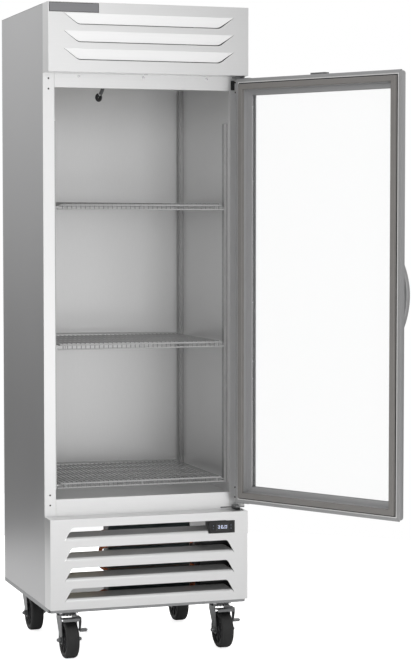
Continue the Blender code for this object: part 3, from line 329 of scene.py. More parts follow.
def anodised(name, base, roughness=0.4):
    """Extruded aluminium: long faint die lines under a satin anodised skin."""
    finish = Finish(name, base, roughness, 0.55)
    lines = finish.noise(finish.stretched((700.0, 700.0, 6.0)), 1.0, 3.0)
    grit = finish.noise(finish.place, 1500.0, 1.0)
    finish.shade(lines * 0.6 + grit * 0.4, 0.92, 1.08)
    finish.set("Roughness", roughness - 0.05 + grit * 0.1)
    finish.bump(grit, 0.00002, 0.3)
    return finish.material


def moulded(name, base, roughness, grain=600.0, depth=0.00006, contrast=0.12, coat=0.0):
    """Moulded plastic or rubber: fine leather-like grain and slight cloudiness."""
    finish = Finish(name, base, roughness, 0.0, Coat_Weight=coat)
    cells = finish.node("ShaderNodeTexVoronoi", {"feature": "F1"}, {"Vector": finish.place, "Scale": grain})
    clouds = finish.noise(finish.place, 18.0, 3.0)
    finish.shade(clouds, 1 - contrast, 1 + contrast)
    finish.set("Roughness", roughness - 0.06 + clouds * 0.12)
    finish.bump(cells, depth, 0.5)
    return finish.material


def enamel(name, base, roughness=0.3):
    """Sprayed enamel with orange peel."""
    finish = Finish(name, base, roughness, 0.0, Coat_Weight=0.3, Coat_Roughness=0.2)
    peel = finish.noise(finish.place, 160.0, 2.0)
    finish.shade(peel, 0.85, 1.2)
    finish.set("Roughness", roughness - 0.05 + peel * 0.1)
    finish.bump(peel, 0.00015, 0.5)
    return finish.material


def copper(name, base):
    """Drawn copper tube: bright with brown tarnish."""
    finish = Finish(name, base, 0.3, 0.9)
    tarnish = finish.noise(finish.place, 45.0, 5.0, 0.65)
    finish.shade(tarnish, 0.55, 1.25)
    finish.set("Roughness", 0.18 + tarnish * 0.3)
    return finish.material


def rigid_foam(name, base):
    finish = Finish(name, base, 0.9)
    cells = finish.noise(finish.place, 250.0, 4.0, 0.7)
    finish.shade(cells, 0.8, 1.15)
    finish.bump(cells, 0.0006, 0.7)
    return finish.material


def clear_glass(name):
    """Float glass: clear face on, a little more reflective at a glancing angle."""
    finish = Finish(name, (0.93, 0.97, 0.96), 0.03, 0.0, IOR=1.5)
    facing = finish.node("ShaderNodeLayerWeight", None, {"Blend": 0.3}, "Facing")
    smear = finish.noise(finish.place, 6.0, 2.0)
    finish.set("Alpha", 0.012 + facing * 0.06)
    finish.set("Roughness", 0.02 + smear * 0.03)
    return finish.material


def glowing(name, base, strength):
    """Self-lit finish: the display's segments, which are a real light, and the button marks, whose glow is painted."""
    finish = Finish(name, base, 0.4, 0.0, Emission_Strength=strength)
    mottle = finish.noise(finish.place, 900.0, 1.0)
    finish.shade(mottle, 0.9, 1.0)
    dim = (*(0.9 * channel for channel in base), 1.0)
    finish.set("Emission Color", finish.mix(mottle, dim, (*base, 1.0)))
    return finish.material


class Paints:
    """Every finish of the refrigerator, made once."""

    def __init__(self, scene):
        sheet, door, shelf = scene.fridge_sheet, scene.fridge_door, scene.fridge_shelf
        machine, caster = scene.fridge_machine, scene.fridge_caster
        rough = sheet.front_roughness
        self.front = brushed_steel("front_steel", sheet.front, rough, (3.0, 900.0, 900.0))
        self.trim = brushed_steel("trim_steel", sheet.front, rough, (900.0, 900.0, 3.0))
        self.side = brushed_steel("side_steel", sheet.side, 0.38, (900.0, 900.0, 3.0), 0.85, 0.06, 0.3)
        self.liner = brushed_steel("liner_sheet", sheet.liner, 0.38, (500.0, 500.0, 40.0), 0.62, 0.07, 0.35)
        self.galvanised = spangled_zinc("galvanised_sheet", (0.36, 0.365, 0.37), 0.42)
        self.zinc = plated_steel("zinc_plate", caster.zinc)
        self.bright = plated_steel("bright_screw", (0.72, 0.72, 0.73), 0.25)
        self.pilaster = plated_steel("upright_steel", (0.40, 0.40, 0.40), 0.33)
        self.frame = anodised("door_frame_anodised", door.frame)
        self.handle = anodised("handle_anodised", tuple(0.9 * value for value in door.frame), 0.36)
        self.badge = brushed_steel("badge_plate", (0.24, 0.24, 0.25), 0.35, (4.0, 800.0, 800.0))
        self.gasket = moulded("gasket_vinyl", door.gasket, 0.6, 900.0, 0.00003, 0.06)
        self.tyre = moulded("tyre_rubber", caster.tyre, 0.62, 500.0, 0.00006, 0.25)
        self.hub = moulded("wheel_hub", (0.028, 0.028, 0.03), 0.45)
        self.black = moulded("black_plastic", (0.010, 0.010, 0.011), 0.42)
        self.lens = moulded("display_lens", (0.008, 0.008, 0.009), 0.08, 50.0, 0.00001, 0.1, 0.6)
        self.white = moulded("white_nylon", (0.78, 0.78, 0.77), 0.4, 400.0, 0.00003, 0.03)
        self.wire = moulded("coated_wire", shelf.coat, 0.36, 300.0, 0.00005, 0.08, 0.2)
        self.rod = moulded("coated_rod", shelf.rod_coat, 0.36, 300.0, 0.00005, 0.08, 0.2)
        self.enamel = enamel("black_enamel", (0.022, 0.022, 0.023))
        self.fins = anodised("coil_fins", (0.30, 0.37, 0.38), 0.42)
        self.copper = copper("copper_tube", machine.copper)
        self.foam = rigid_foam("rigid_foam", (0.72, 0.62, 0.38))
        self.glass = clear_glass("door_glass")
        self.digits = glowing("display_digits", (0.70, 0.76, 1.0), 0.9)
        # The button marks get a faint painted glow: printed marks, with no lamp behind them.
        self.icons = glowing("button_marks_painted_glow", (0.35, 0.38, 0.48), 0.25)


PAINTS = {}


def paints():
    """The finishes, made at the first call."""
    if "all" not in PAINTS:
        PAINTS["all"] = Paints(bpy.context.scene)
    return PAINTS["all"]


# ---------------------------------------------------------------- mesh building blocks

def to_mesh(bm, name="shape"):
    """Turn a bmesh into a mesh whose faces point outwards."""
    bmesh.ops.recalc_face_normals(bm, faces=bm.faces)
    mesh = bpy.data.meshes.new(name)
    bm.to_mesh(mesh)
    bm.free()
    return mesh


def loft(sections, closed=False):
    """Solid through rings of points; closed joins the last ring to the first."""
    bm = bmesh.new()
    rings = [[bm.verts.new(point) for point in section] for section in sections]
    pairs = list(zip(rings, rings[1:] + rings[:1])) if closed else list(zip(rings, rings[1:]))
    for first, second in pairs:
        for i in range(len(first)):
            j = (i + 1) % len(first)
            bm.faces.new((first[i], first[j], second[j], second[i]))
    if not closed:
        bm.faces.new(rings[0])
        bm.faces.new(rings[-1])
    return to_mesh(bm)


def prism(outline, axis, low, high):
    """Extrude an outline of the two other coordinates, in X, Y, Z order, along an axis."""
    def section(level):
        points = [list(pair) for pair in outline]
        for point in points:
            point.insert("XYZ".index(axis), level)
        return points
    return loft([section(low), section(high)])


def box(low, high):
    outline = [(low[0], low[1]), (high[0], low[1]), (high[0], high[1]), (low[0], high[1])]
    return prism(outline, "Z", low[2], high[2])


def circle(radius, centre=(0.0, 0.0), steps=24):
    angles = [2 * math.pi * i / steps for i in range(steps)]
    return [(centre[0] + radius * math.cos(a), centre[1] + radius * math.sin(a)) for a in angles]


def cylinder(radius, axis, centre, low, high, steps=24):
    return prism(circle(radius, centre, steps), axis, low, high)


def both_sides(side):
    """Profile of a wheel from one side's (radius, level) points, which run outwards."""
    return [(radius, -level) for radius, level in side] + [(radius, level) for radius, level in side[::-1]]


def turned(profile, axis, centre=(0.0, 0.0), steps=48):
    """Turn a closed profile of (radius, level) points about an axis; a zero radius closes on the axis."""
    bm = bmesh.new()
    index = "XYZ".index(axis)
    rings = []
    for radius, level in profile:
        ring = []
        for x, y in circle(radius, centre, steps) if radius else [centre]:
            point = [x, y]
            point.insert(index, level)
            ring.append(bm.verts.new(point))
        rings.append(ring if radius else ring * steps)
    pairs = list(zip(rings, rings[1:]))
    if profile[0][0]:
        pairs.append((rings[-1], rings[0]))
    for first, second in pairs:
        for i in range(steps):
            j = (i + 1) % steps
            bm.faces.new(list(dict.fromkeys((first[i], first[j], second[j], second[i]))))
    return to_mesh(bm)


def smooth_path(points, steps=6):
    """Points along a smooth curve through the given points."""
    knots = [Vector(point) for point in points]
    knots = [2 * knots[0] - knots[1]] + knots + [2 * knots[-1] - knots[-2]]
    path = []
    for i in range(1, len(knots) - 2):
        a, b, c, d = knots[i - 1:i + 3]
        for k in range(steps):
            t = k / steps
            path.append(0.5 * (2 * b + (c - a) * t + (2 * a - 5 * b + 4 * c - d) * t * t
                               + (3 * b - a - 3 * c + d) * t ** 3))
    return path + [knots[-2]]


def tube(points, radius, steps=10):
    """Round bar that follows a line of points."""
    points = [Vector(point) for point in points]
    rings = []
    normal = None
    for i, point in enumerate(points):
        along = (points[min(i + 1, len(points) - 1)] - points[max(i - 1, 0)]).normalized()
        normal = along.orthogonal() if normal is None else normal - along * normal.dot(along)
        normal.normalize()
        across = along.cross(normal)
        rings.append([point + normal * x + across * y for x, y in circle(radius, steps=steps)])
    return loft(rings)


def joined(*meshes):
    """One mesh that holds all the given ones."""
    bm = bmesh.new()
    for mesh in meshes:
        bm.from_mesh(mesh)
    made = bpy.data.meshes.new("joined")
    bm.to_mesh(made)
    bm.free()
    return made


def moved(mesh, *place):
    mesh.transform(place[0] if isinstance(place[0], Matrix) else Matrix.Translation(Vector(place)))
    return mesh


def evaluated(holder):
    """Plain mesh of an object with its modifiers applied; the object is removed."""
    bpy.context.scene.collection.objects.link(holder)
    graph = bpy.context.evaluated_depsgraph_get()
    made = bpy.data.meshes.new_from_object(holder.evaluated_get(graph))
    bpy.data.objects.remove(holder)
    return made


def bevelled(mesh, width, segments=2, angle=30.0):
    holder = bpy.data.objects.new("holder", mesh)
    bevel = holder.modifiers.new("edges", "BEVEL")
    bevel.width = width
    bevel.segments = segments
    bevel.limit_method = "ANGLE"
    bevel.angle_limit = math.radians(angle)
    return evaluated(holder)


def combined(base, tools, operation):
    """Boolean of a mesh with several others."""
    holder = bpy.data.objects.new("holder", base)
    helpers = []
    for tool in tools:
        helper = bpy.data.objects.new("tool", tool)
        bpy.context.scene.collection.objects.link(helper)
        modifier = holder.modifiers.new("boolean", "BOOLEAN")
        modifier.operation = operation
        modifier.object = helper
        helpers.append(helper)
    made = evaluated(holder)
    for helper in helpers:
        bpy.data.objects.remove(helper)
    return made


def cad_copy(node):
    """Copy of a frame node's mesh with its triangles merged into whole faces."""
    bm = bmesh.new()
    bm.from_mesh(NODES[node].data)
    bmesh.ops.remove_doubles(bm, verts=bm.verts, dist=WELD)
    bmesh.ops.dissolve_limit(bm, angle_limit=math.radians(0.5), verts=bm.verts, edges=bm.edges)
    mesh = bpy.data.meshes.new(node)
    bm.to_mesh(mesh)
    bm.free()
    return mesh


def flat_faced(mesh):
    """Mesh whose normals follow its large faces, so that a rounded edge leaves them flat."""
    holder = bpy.data.objects.new("holder", mesh)
    normals = holder.modifiers.new("normals", "WEIGHTED_NORMAL")
    normals.keep_sharp = True
    normals.weight = 100
    return evaluated(holder)


def add_piece(name, mesh, finish, body, replaces=(), crease=CREASE):
    """Link a finished mesh as a piece that rides on a body."""
    mesh.name = name
    mesh.materials.clear()
    mesh.materials.append(finish)
    mesh.shade_smooth()
    mesh.set_sharp_from_angle(angle=math.radians(crease))
    mesh = flat_faced(mesh)
    mesh.name = name
    piece = bpy.data.objects.new(name, mesh)
    bpy.context.scene.collection.objects.link(piece)
    if replaces:
        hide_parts(*replaces)
    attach(piece, body)
    return piece


def body_of(node):
    return NODES[node]["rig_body"]


def refine(node, finish, width, segments=2):
    """Give a frame node softened edges: a bevelled copy takes its place."""
    mesh = bevelled(cad_copy(node), width, segments)
    return add_piece(node + "_finished", mesh, finish, body_of(node), (node,))


def paint(node, finish):
    """Keep a frame node's shape and give it a finish."""
    materials = NODES[node].data.materials
    materials.clear()
    materials.append(finish)


# ---------------------------------------------------------------- geometry node trees

class Repeater:
    """A Geometry Nodes tree that repeats the mesh of the object it is put on."""

    def __init__(self, name, sockets):
        self.tree = bpy.data.node_groups.new(name, "GeometryNodeTree")
        for label, kind in (("Geometry", "Geometry"), *sockets, ("Finish", "Material")):
            self.tree.interface.new_socket(label, in_out="INPUT", socket_type="NodeSocket" + kind)
        self.tree.interface.new_socket("Geometry", in_out="OUTPUT", socket_type="NodeSocketGeometry")
        self.start = self.tree.nodes.new("NodeGroupInput")
        self.end = self.tree.nodes.new("NodeGroupOutput")

    def add(self, kind, **settings):
        made = self.tree.nodes.new(kind)
        for key, value in settings.items():
            setattr(made, key, value)
        return made

    def link(self, source, output, target, socket):
        self.tree.links.new(source.outputs[output], target.inputs[socket])

    def close(self, points):
        """Instance on the points, realize, weld and paint; returns the instancing node."""
        place = self.add("GeometryNodeInstanceOnPoints")
        real = self.add("GeometryNodeRealizeInstances")
        weld = self.add("GeometryNodeMergeByDistance")
        coat = self.add("GeometryNodeSetMaterial")
        self.link(points, "Mesh", place, "Points")
        self.link(self.start, "Geometry", place, "Instance")
        self.link(place, "Instances", real, "Geometry")
        self.link(real, "Geometry", weld, "Geometry")
        weld.inputs["Distance"].default_value = WELD
        self.link(weld, "Geometry", coat, "Geometry")
        self.link(self.start, "Finish", coat, "Material")
        self.link(coat, "Geometry", self.end, "Geometry")
        return place

    def run(self, mesh, finish, **values):
        holder = bpy.data.objects.new("holder", mesh)
        modifier = holder.modifiers.new("repeat", "NODES")
        modifier.node_group = self.tree
        values["Finish"] = finish
        for item in self.tree.interface.items_tree:
            if item.in_out == "INPUT" and item.name in values:
                modifier[item.identifier] = values[item.name]
        return evaluated(holder)


def line_repeater():
    """Repeats a mesh Count times, each one Step further on."""
    tree = Repeater("repeat_along_line", (("Count", "Int"), ("Step", "Vector")))
    line = tree.add("GeometryNodeMeshLine", mode="OFFSET")
    tree.link(tree.start, "Count", line, "Count")
    tree.link(tree.start, "Step", line, "Offset")
    tree.close(line)
    return tree


def ring_repeater():
    """Repeats a mesh Count times around the Z axis."""
    tree = Repeater("repeat_around_axis", (("Count", "Int"),))
    line = tree.add("GeometryNodeMeshLine", mode="OFFSET")
    line.inputs["Offset"].default_value = (0, 0, 0)
    tree.link(tree.start, "Count", line, "Count")
    place = tree.close(line)
    turn = tree.add("ShaderNodeMath", operation="DIVIDE")
    turn.inputs[0].default_value = 2 * math.pi
    tree.link(tree.start, "Count", turn, 1)
    angle = tree.add("ShaderNodeMath", operation="MULTIPLY")
    tree.link(tree.add("GeometryNodeInputIndex"), "Index", angle, 0)
    tree.link(turn, "Value", angle, 1)
    spin = tree.add("ShaderNodeCombineXYZ")
    tree.link(angle, "Value", spin, "Z")
    tree.link(spin, "Vector", place, "Rotation")
    return tree


TREES = {}


def along_line(mesh, count, step, finish):
    if "line" not in TREES:
        TREES["line"] = line_repeater()
    return TREES["line"].run(mesh, finish, Count=count, Step=step)


def around_axis(mesh, count, finish):
    if "ring" not in TREES:
        TREES["ring"] = ring_repeater()
    return TREES["ring"].run(mesh, finish, Count=count)


# ---------------------------------------------------------------- shapes of single pieces

def tray(low, high, wall):
    """Folded sheet tray that is open at the back."""
    def ring(margin, level):
        return [(low.x + margin, level, low.z + margin), (high.x - margin, level, low.z + margin),
                (high.x - margin, level, high.z - margin), (low.x + margin, level, high.z - margin)]
    return loft([ring(0, low.y), ring(0, high.y), ring(wall, high.y), ring(wall, low.y + wall)])


def grown(node, margin):
    """Box around a frame node, larger by a margin."""
    low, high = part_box(node)
    return box(low - Vector((margin,) * 3), high + Vector((margin,) * 3))


class Louver:
    """Trapezoid of a louver: half widths at its hinge and free edges, depth and corner radius."""

    def __init__(self, hinge_half, free_half, depth, corner):
        self.hinge, self.free, self.depth, self.corner = hinge_half, free_half, depth, corner
        self.spread = hinge_half - free_half
        self.slant = math.hypot(depth, self.spread)
        self.corner_level = depth - corner
        self.corner_x = hinge_half - (corner * self.slant + self.corner_level * self.spread) / depth
        self.tangent = self.corner_level + corner * self.spread / self.slant

    def half(self, distance):
        """Half width at a distance from the hinge edge."""
        if distance <= self.tangent:
            return self.hinge - distance * self.spread / self.depth
        rise = min(self.corner, distance - self.corner_level)
        return self.corner_x + math.sqrt(max(0.0, self.corner ** 2 - rise ** 2))

    def levels(self, bend_length, steps=7):
        bend = [bend_length * i / steps for i in range(steps + 1)]
        arc = []
        for i in range(steps + 1):
            angle = math.pi / 2 * i / steps
            start = math.asin((self.tangent - self.corner_level) / self.corner)
            arc.append(self.corner_level + self.corner * math.sin(start + (math.pi / 2 - start) * angle * 2 / math.pi))
        return sorted(set(bend + [level for level in arc if level > bend_length]))


def louver_flap(louver, centre, front, hinge, direction, bend, angle, stop):
    """Flap that leaves the sheet in a smooth bend and then runs straight inwards."""
    rings = []
    for distance in [-0.001] + louver.levels(bend * angle):
        turn = min(max(distance, 0.0) / bend, angle)
        straight = max(0.0, distance - bend * angle)
        inward = bend * (1 - math.cos(turn)) + straight * math.sin(angle)
        along = bend * math.sin(turn) + straight * math.cos(angle) + min(distance, 0.0)
        half = louver.half(max(distance, 0.0)) - 2 * HAIR
        right = half if stop is None else min(half, stop - centre)
        ring = []
        for x, side in ((-half, -1), (right, -1), (right, 1), (-half, 1)):
            offset = side * (SHEET / 2 - 0.00005)
            y = front + SHEET / 2 + inward + offset * math.cos(turn)
            z = hinge + direction * (along - offset * math.sin(turn))
            ring.append((centre + x, y, z))
        rings.append(ring)
    return loft(rings)


def louver_panel(node, louver, hinges, direction, bend, angle, holes, clearance, stop=None):
    """Panel with a row of pressed louvers; direction is +1 where the flaps stand on their hinge edges."""
    low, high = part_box(node)
    centre = (low.x + high.x) / 2
    panel = bevelled(tray(low, high, SHEET), 0.0005)
    cutters = list(holes)
    flaps = []
    flap = Louver(louver.hinge - 0.0010, louver.free - 0.0010, louver.depth - clearance, louver.corner)
    for i, hinge in enumerate(hinges):
        levels = louver.levels(bend * angle)
        right = [(centre + louver.half(level), hinge + direction * level) for level in levels]
        left = [(2 * centre - x, z) for x, z in reversed(right)]
        cutters.append(prism(right + left, "Y", low.y - 0.01, low.y + 0.01))
        flaps.append(louver_flap(flap, centre, low.y, hinge, direction, bend, angle, stop if i == 0 else None))
    return combined(combined(panel, cutters, "DIFFERENCE"), flaps, "UNION")


def perforated(us, vs, low, high, is_hole, axis):
    """Plate on a grid of cells with some left open; axis is across the plate."""
    bm = bmesh.new()
    index = "XYZ".index(axis)

    def vertex(u, v, level):
        point = [u, v]
        point.insert(index, level)
        return bm.verts.new(point)
    grid = [[[vertex(u, v, level) for v in vs] for u in us] for level in (low, high)]
    columns, rows = len(us) - 1, len(vs) - 1

    def solid(i, j):
        return 0 <= i < columns and 0 <= j < rows and not is_hole(i, j)
    for i in range(columns):
        for j in range(rows):
            if not solid(i, j):
                continue
            for sheet in grid:
                bm.faces.new((sheet[i][j], sheet[i + 1][j], sheet[i + 1][j + 1], sheet[i][j + 1]))
            for (a, b), (c, d), beside in (((i, j), (i + 1, j), (i, j - 1)),
                                           ((i + 1, j), (i + 1, j + 1), (i + 1, j)),
                                           ((i + 1, j + 1), (i, j + 1), (i, j + 1)),
                                           ((i, j + 1), (i, j), (i - 1, j))):
                if not solid(*beside):
                    bm.faces.new((grid[0][a][b], grid[0][c][d], grid[1][c][d], grid[1][a][b]))
    bmesh.ops.delete(bm, geom=[v for v in bm.verts if not v.link_faces], context="VERTS")
    return to_mesh(bm)


def upright(node, pitch):
    """Folded shelf upright with a row of slots in its face."""
    low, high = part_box(node)
    inner = low.x if low.x > CENTRE_X else high.x
    toward = 1 if low.x > CENTRE_X else -1
    middle = (low.y + high.y) / 2
    slot_width, slot_height = 0.0035, 0.0115
    heights = [low.z]
    count = int((high.z - low.z - 0.02) / pitch)
    for i in range(count):
        start = low.z + 0.012 + i * pitch
        heights += [start, start + slot_height]
    heights.append(high.z)
    widths = [low.y, middle - slot_width / 2, middle + slot_width / 2, high.y]
    face = perforated(widths, heights, *sorted((inner, inner + toward * SHEET)),
                      lambda i, j: i == 1 and j % 2 == 1, "X")
    outer = high.x if toward > 0 else low.x
    near, far = sorted((inner + toward * SHEET, outer))
    flanges = [box((near, y, low.z), (far, y + SHEET, high.z)) for y in (low.y, high.y - SHEET)]
    return joined(face, *flanges)


def shelf_wires(node, settings, finish):
    """Deck wires bent down over the front rod, cross bars, side rods and the raised rear rod."""
    low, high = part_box(node)
    rod, wire = settings.rod / 2, settings.wire / 2
    deck = high.z - rod
    bottom = deck - 0.017
    front, back = low.y + rod, high.y - rod
    left, right = low.x + 0.010, high.x - 0.010
    path = smooth_path([(left, front - wire, bottom), (left, front - wire, deck - 0.006),
                        (left, front + 0.002, deck + wire), (left, front + 0.010, deck + wire * 1.4),
                        (left, front + 0.060, deck + wire)], 3)
    path += [Vector((left, back, deck + wire))]
    step = (right - left) / (settings.wires - 1)
    wires = along_line(tube(path, wire, 8), settings.wires, (step, 0, 0), finish)
    bars = [tube([(low.x + 0.003, front, deck - rod), (high.x - 0.003, front, deck - rod)], rod, 12),
            tube([(low.x - 0.008, front, bottom), (high.x + 0.008, front, bottom)], rod * 0.9, 12),
            tube([(low.x + 0.003, back, deck + 0.0095), (high.x - 0.012, back, deck + 0.0045)], rod, 12)]
    for share_back in (0.26, 0.52, 0.78, 1.0):
        y = front + share_back * (back - front)
        bars.append(tube([(low.x, y, deck - rod), (high.x, y, deck - rod)], rod * 0.8, 10))
    for x in (low.x + rod, high.x - rod):
        bars.append(tube([(x, front, deck - rod), (x, back, deck - rod)], rod, 10))
    centre = (low.x + high.x) / 2
    for x in (-0.267, 0.0, 0.267):
        bars.append(tube([(centre + x, front - rod, bottom), (centre + x, front - rod, deck)], rod * 0.7, 8))
        tie = centre + x * 0.97
        bars.append(tube([(tie, back, deck - rod), (tie, back, deck + 0.0045)], rod * 0.7, 8))
    return wires, joined(*bars)


def shelf_clip(x, y, z, toward):
    """Bent clip hooked in an upright: a V under the shelf's side rod."""
    outline = [(0.0, -0.004), (0.011, -0.0005), (0.011, 0.001), (0.0, -0.0015), (-0.004, 0.001),
               (-0.004, -0.012), (-0.001, -0.012)]
    points = [(x - toward * across, z - 0.002 + rise) for across, rise in outline]
    return bevelled(prism([(px, pz) for px, pz in points], "Y", y - 0.006, y + 0.006), 0.0004)


def screw(radius=0.0042, height=0.0022):
    """Pan head around the origin that stands out towards the front, with a cross cut into it."""
    profile = [(0, 0.0), (radius, 0.0), (radius, -height * 0.35), (radius * 0.86, -height * 0.75),
               (radius * 0.5, -height * 0.96), (0, -height)]
    head = turned(profile, "Y", steps=20)
    bars = [box((-a, -height * 1.2, -b), (a, -height * 0.55, b)) for a, b in
            ((radius * 0.6, radius * 0.11), (radius * 0.11, radius * 0.6))]
    return combined(head, bars, "DIFFERENCE")


def hexagon(radius, axis, centre, low, high):
    return bevelled(prism(circle(radius, centre, 6), axis, low, high), radius * 0.1)


# ---------------------------------------------------------------- door coordinates

def door_box(node):
    """Lowest and highest corner of a door node with the door closed, around the hinge axis."""
    back = DOOR_PLACE.inverted()
    corners = [back @ vertex.co for vertex in NODES[node].data.vertices]
    return (Vector([min(corner[i] for corner in corners) for i in range(3)]),
            Vector([max(corner[i] for corner in corners) for i in range(3)]))


def door_ring(low, high, section):
    """Mitred ring inside the X and Z edges of a box; the section holds (inwards, Y) points."""
    rings = []
    for side_x, side_z in ((0, 0), (1, 0), (1, 1), (0, 1)):
        ring = []
        for inwards, y in section:
            x = high.x - inwards if side_x else low.x + inwards
            z = high.z - inwards if side_z else low.z + inwards
            ring.append((x, y, z))
        rings.append(ring)
    return loft(rings, closed=True)


def gasket_section(face):
    """Bellows and magnet strip of the gasket, standing on the given Y towards the cabinet."""
    outline = [(0.0030, 0.0), (0.0034, 0.0022), (0.0046, 0.0036), (0.0034, 0.0052), (0.0032, 0.0088),
               (0.0044, 0.0106), (0.0064, 0.0114), (0.0180, 0.0114), (0.0204, 0.0106), (0.0218, 0.0088),
               (0.0216, 0.0052), (0.0204, 0.0036), (0.0216, 0.0022), (0.0220, 0.0)]
    return [(inwards, face + height) for inwards, height in outline]


def bow_handle(low, high, width, steps=44, around=20):
    """Crescent handle with rounded sides; low and high are the closed door's box of the frame's handle."""
    middle_x, middle_z = (low.x + high.x) / 2, (low.z + high.z) / 2
    outer_half, projection = (high.z - low.z) / 2, high.y - low.y - 0.0035
    inner_half, inner_projection = outer_half - 0.030, projection - 0.0195
    rings = []
    for i in range(steps + 1):
        place = -1 + 2 * i / steps
        rise = 1 - place * place
        outer = Vector((0, -projection * rise, outer_half * place))
        inner = Vector((0, -inner_projection * rise, inner_half * place))
        centre, reach = (outer + inner) / 2, (outer - inner) / 2
        ring = []
        for x, y in circle(1.0, steps=around):
            across = math.copysign(abs(x) ** 0.55, x) * width / 2
            out = math.copysign(abs(y) ** 0.75, y)
            ring.append(Vector((middle_x + across, high.y, middle_z)) + centre + reach * out)
        rings.append(ring)
    return loft(rings)


# ---------------------------------------------------------------- machinery

def fan_wheel(radius, hub_radius, depth, blades, finish):
    """Moulded fan around the Z axis: a domed hub and swept, cambered blades."""
    half = depth / 2
    hub = turned([(0, -half), (hub_radius * 0.9, -half), (hub_radius, -half * 0.7), (hub_radius, half * 0.5),
                  (hub_radius * 0.8, half * 0.9), (0, half)], "Z", steps=32)
    sections = []
    for i in range(7):
        share_out = i / 6
        reach = hub_radius * 0.85 + share_out * (radius - hub_radius * 0.85)
        chord = radius * (0.34 + 0.30 * share_out)
        tilt = math.radians(34 - 14 * share_out)
        upper, lower = [], []
        for k in range(7):
            along = (k / 6 - 0.5) * chord
            camber = 0.10 * chord * (1 - (2 * k / 6 - 1) ** 2)
            sweep = (along * math.cos(tilt) + 0.16 * radius * share_out) / reach
            x, y = reach * math.cos(sweep), reach * math.sin(sweep)
            z = along * math.sin(tilt) + camber - 0.05 * chord
            upper.append((x, y, z + 0.0007))
            lower.append((x, y, z - 0.0007))
        sections.append(upper + lower[::-1])
    return joined(hub, around_axis(loft(sections), blades, finish))


def coil_pieces(prefix, node, axis_rows, tube_radius, pitch, body):
    """Fins, tubes with return bends and end plates of a coil that runs along X."""
    finishes = paints()
    low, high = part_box(node)
    count = int((high.x - low.x - 2 * SHEET) / pitch)
    inset = (high.x - low.x - (count - 1) * pitch) / 2
    fin = box((low.x + inset - 0.0001, low.y + 0.0005, low.z + 0.001),
              (low.x + inset + 0.0001, high.y - 0.0005, high.z - 0.001))
    fins = along_line(fin, count, (pitch, 0, 0), finishes.fins)
    add_piece(prefix + "_fins", fins, finishes.fins, body, (node,))
    rows = int((high.z - low.z) / axis_rows)
    first = low.z + (high.z - low.z - (rows - 1) * axis_rows) / 2
    near, far = low.y + (high.y - low.y) * 0.27, low.y + (high.y - low.y) * 0.73
    pipes = []
    for y in (near, far):
        pipe = tube([(low.x, y, first), (high.x, y, first)], tube_radius, 12)
        pipes.append(along_line(pipe, rows, (0, 0, axis_rows), finishes.copper))
    for x, outwards, start in ((low.x, -1, 0), (high.x, 1, 1)):
        arc = [(x + outwards * (0.008 + axis_rows / 2 * math.sin(angle)), near,
                first + start * axis_rows + axis_rows / 2 * (1 - math.cos(angle)))
               for angle in (math.pi * i / 10 for i in range(11))]
        bend = tube([(x, near, arc[0][2])] + arc + [(x, near, arc[-1][2])], tube_radius, 12)
        for y in (0.0, far - near):
            copy = moved(bend.copy(), 0, y, 0)
            pipes.append(along_line(copy, (rows - start) // 2, (0, 0, 2 * axis_rows), finishes.copper))
    add_piece(prefix + "_tubes", joined(*pipes), finishes.copper, body)
    plates = []
    for x in (low.x, high.x - SHEET):
        plates.append(box((x, low.y, low.z), (x + SHEET, high.y, high.z)))
    plates = bevelled(joined(*plates), 0.0003)
    add_piece(prefix + "_end_plates", plates, finishes.galvanised, body)


def seven_segments(text, left, bottom, height, front):
    """Lit bars of the display's digits."""
    width, gap, bar = height * 0.74, height * 0.43, height * 0.13
    lit = {"0": "abcdef", "3": "abcdg", "6": "acdefg", "8": "abcdefg"}
    half = height / 2
    bars = {"a": (bar, height - bar, width - bar, height), "b": (width - bar, half, width, height),
            "c": (width - bar, 0, width, half), "d": (bar, 0, width - bar, bar), "e": (0, 0, bar, half),
            "f": (0, half, bar, height), "g": (bar, half - bar / 2, width - bar, half + bar / 2)}
    meshes = []
    x = left
    for mark in text:
        if mark == ".":
            dot = x - gap * 0.75
            meshes.append(box((dot, front - HAIR, bottom), (dot + bar, front, bottom + bar)))
            continue
        for name in lit[mark]:
            x0, z0, x1, z1 = bars[name]
            inset = bar * 0.12
            meshes.append(box((x + x0 + inset, front - HAIR, bottom + z0 + inset),
                              (x + x1 - inset, front, bottom + z1 - inset)))
        x += width + gap
    return joined(*meshes)


# ---------------------------------------------------------------- operators

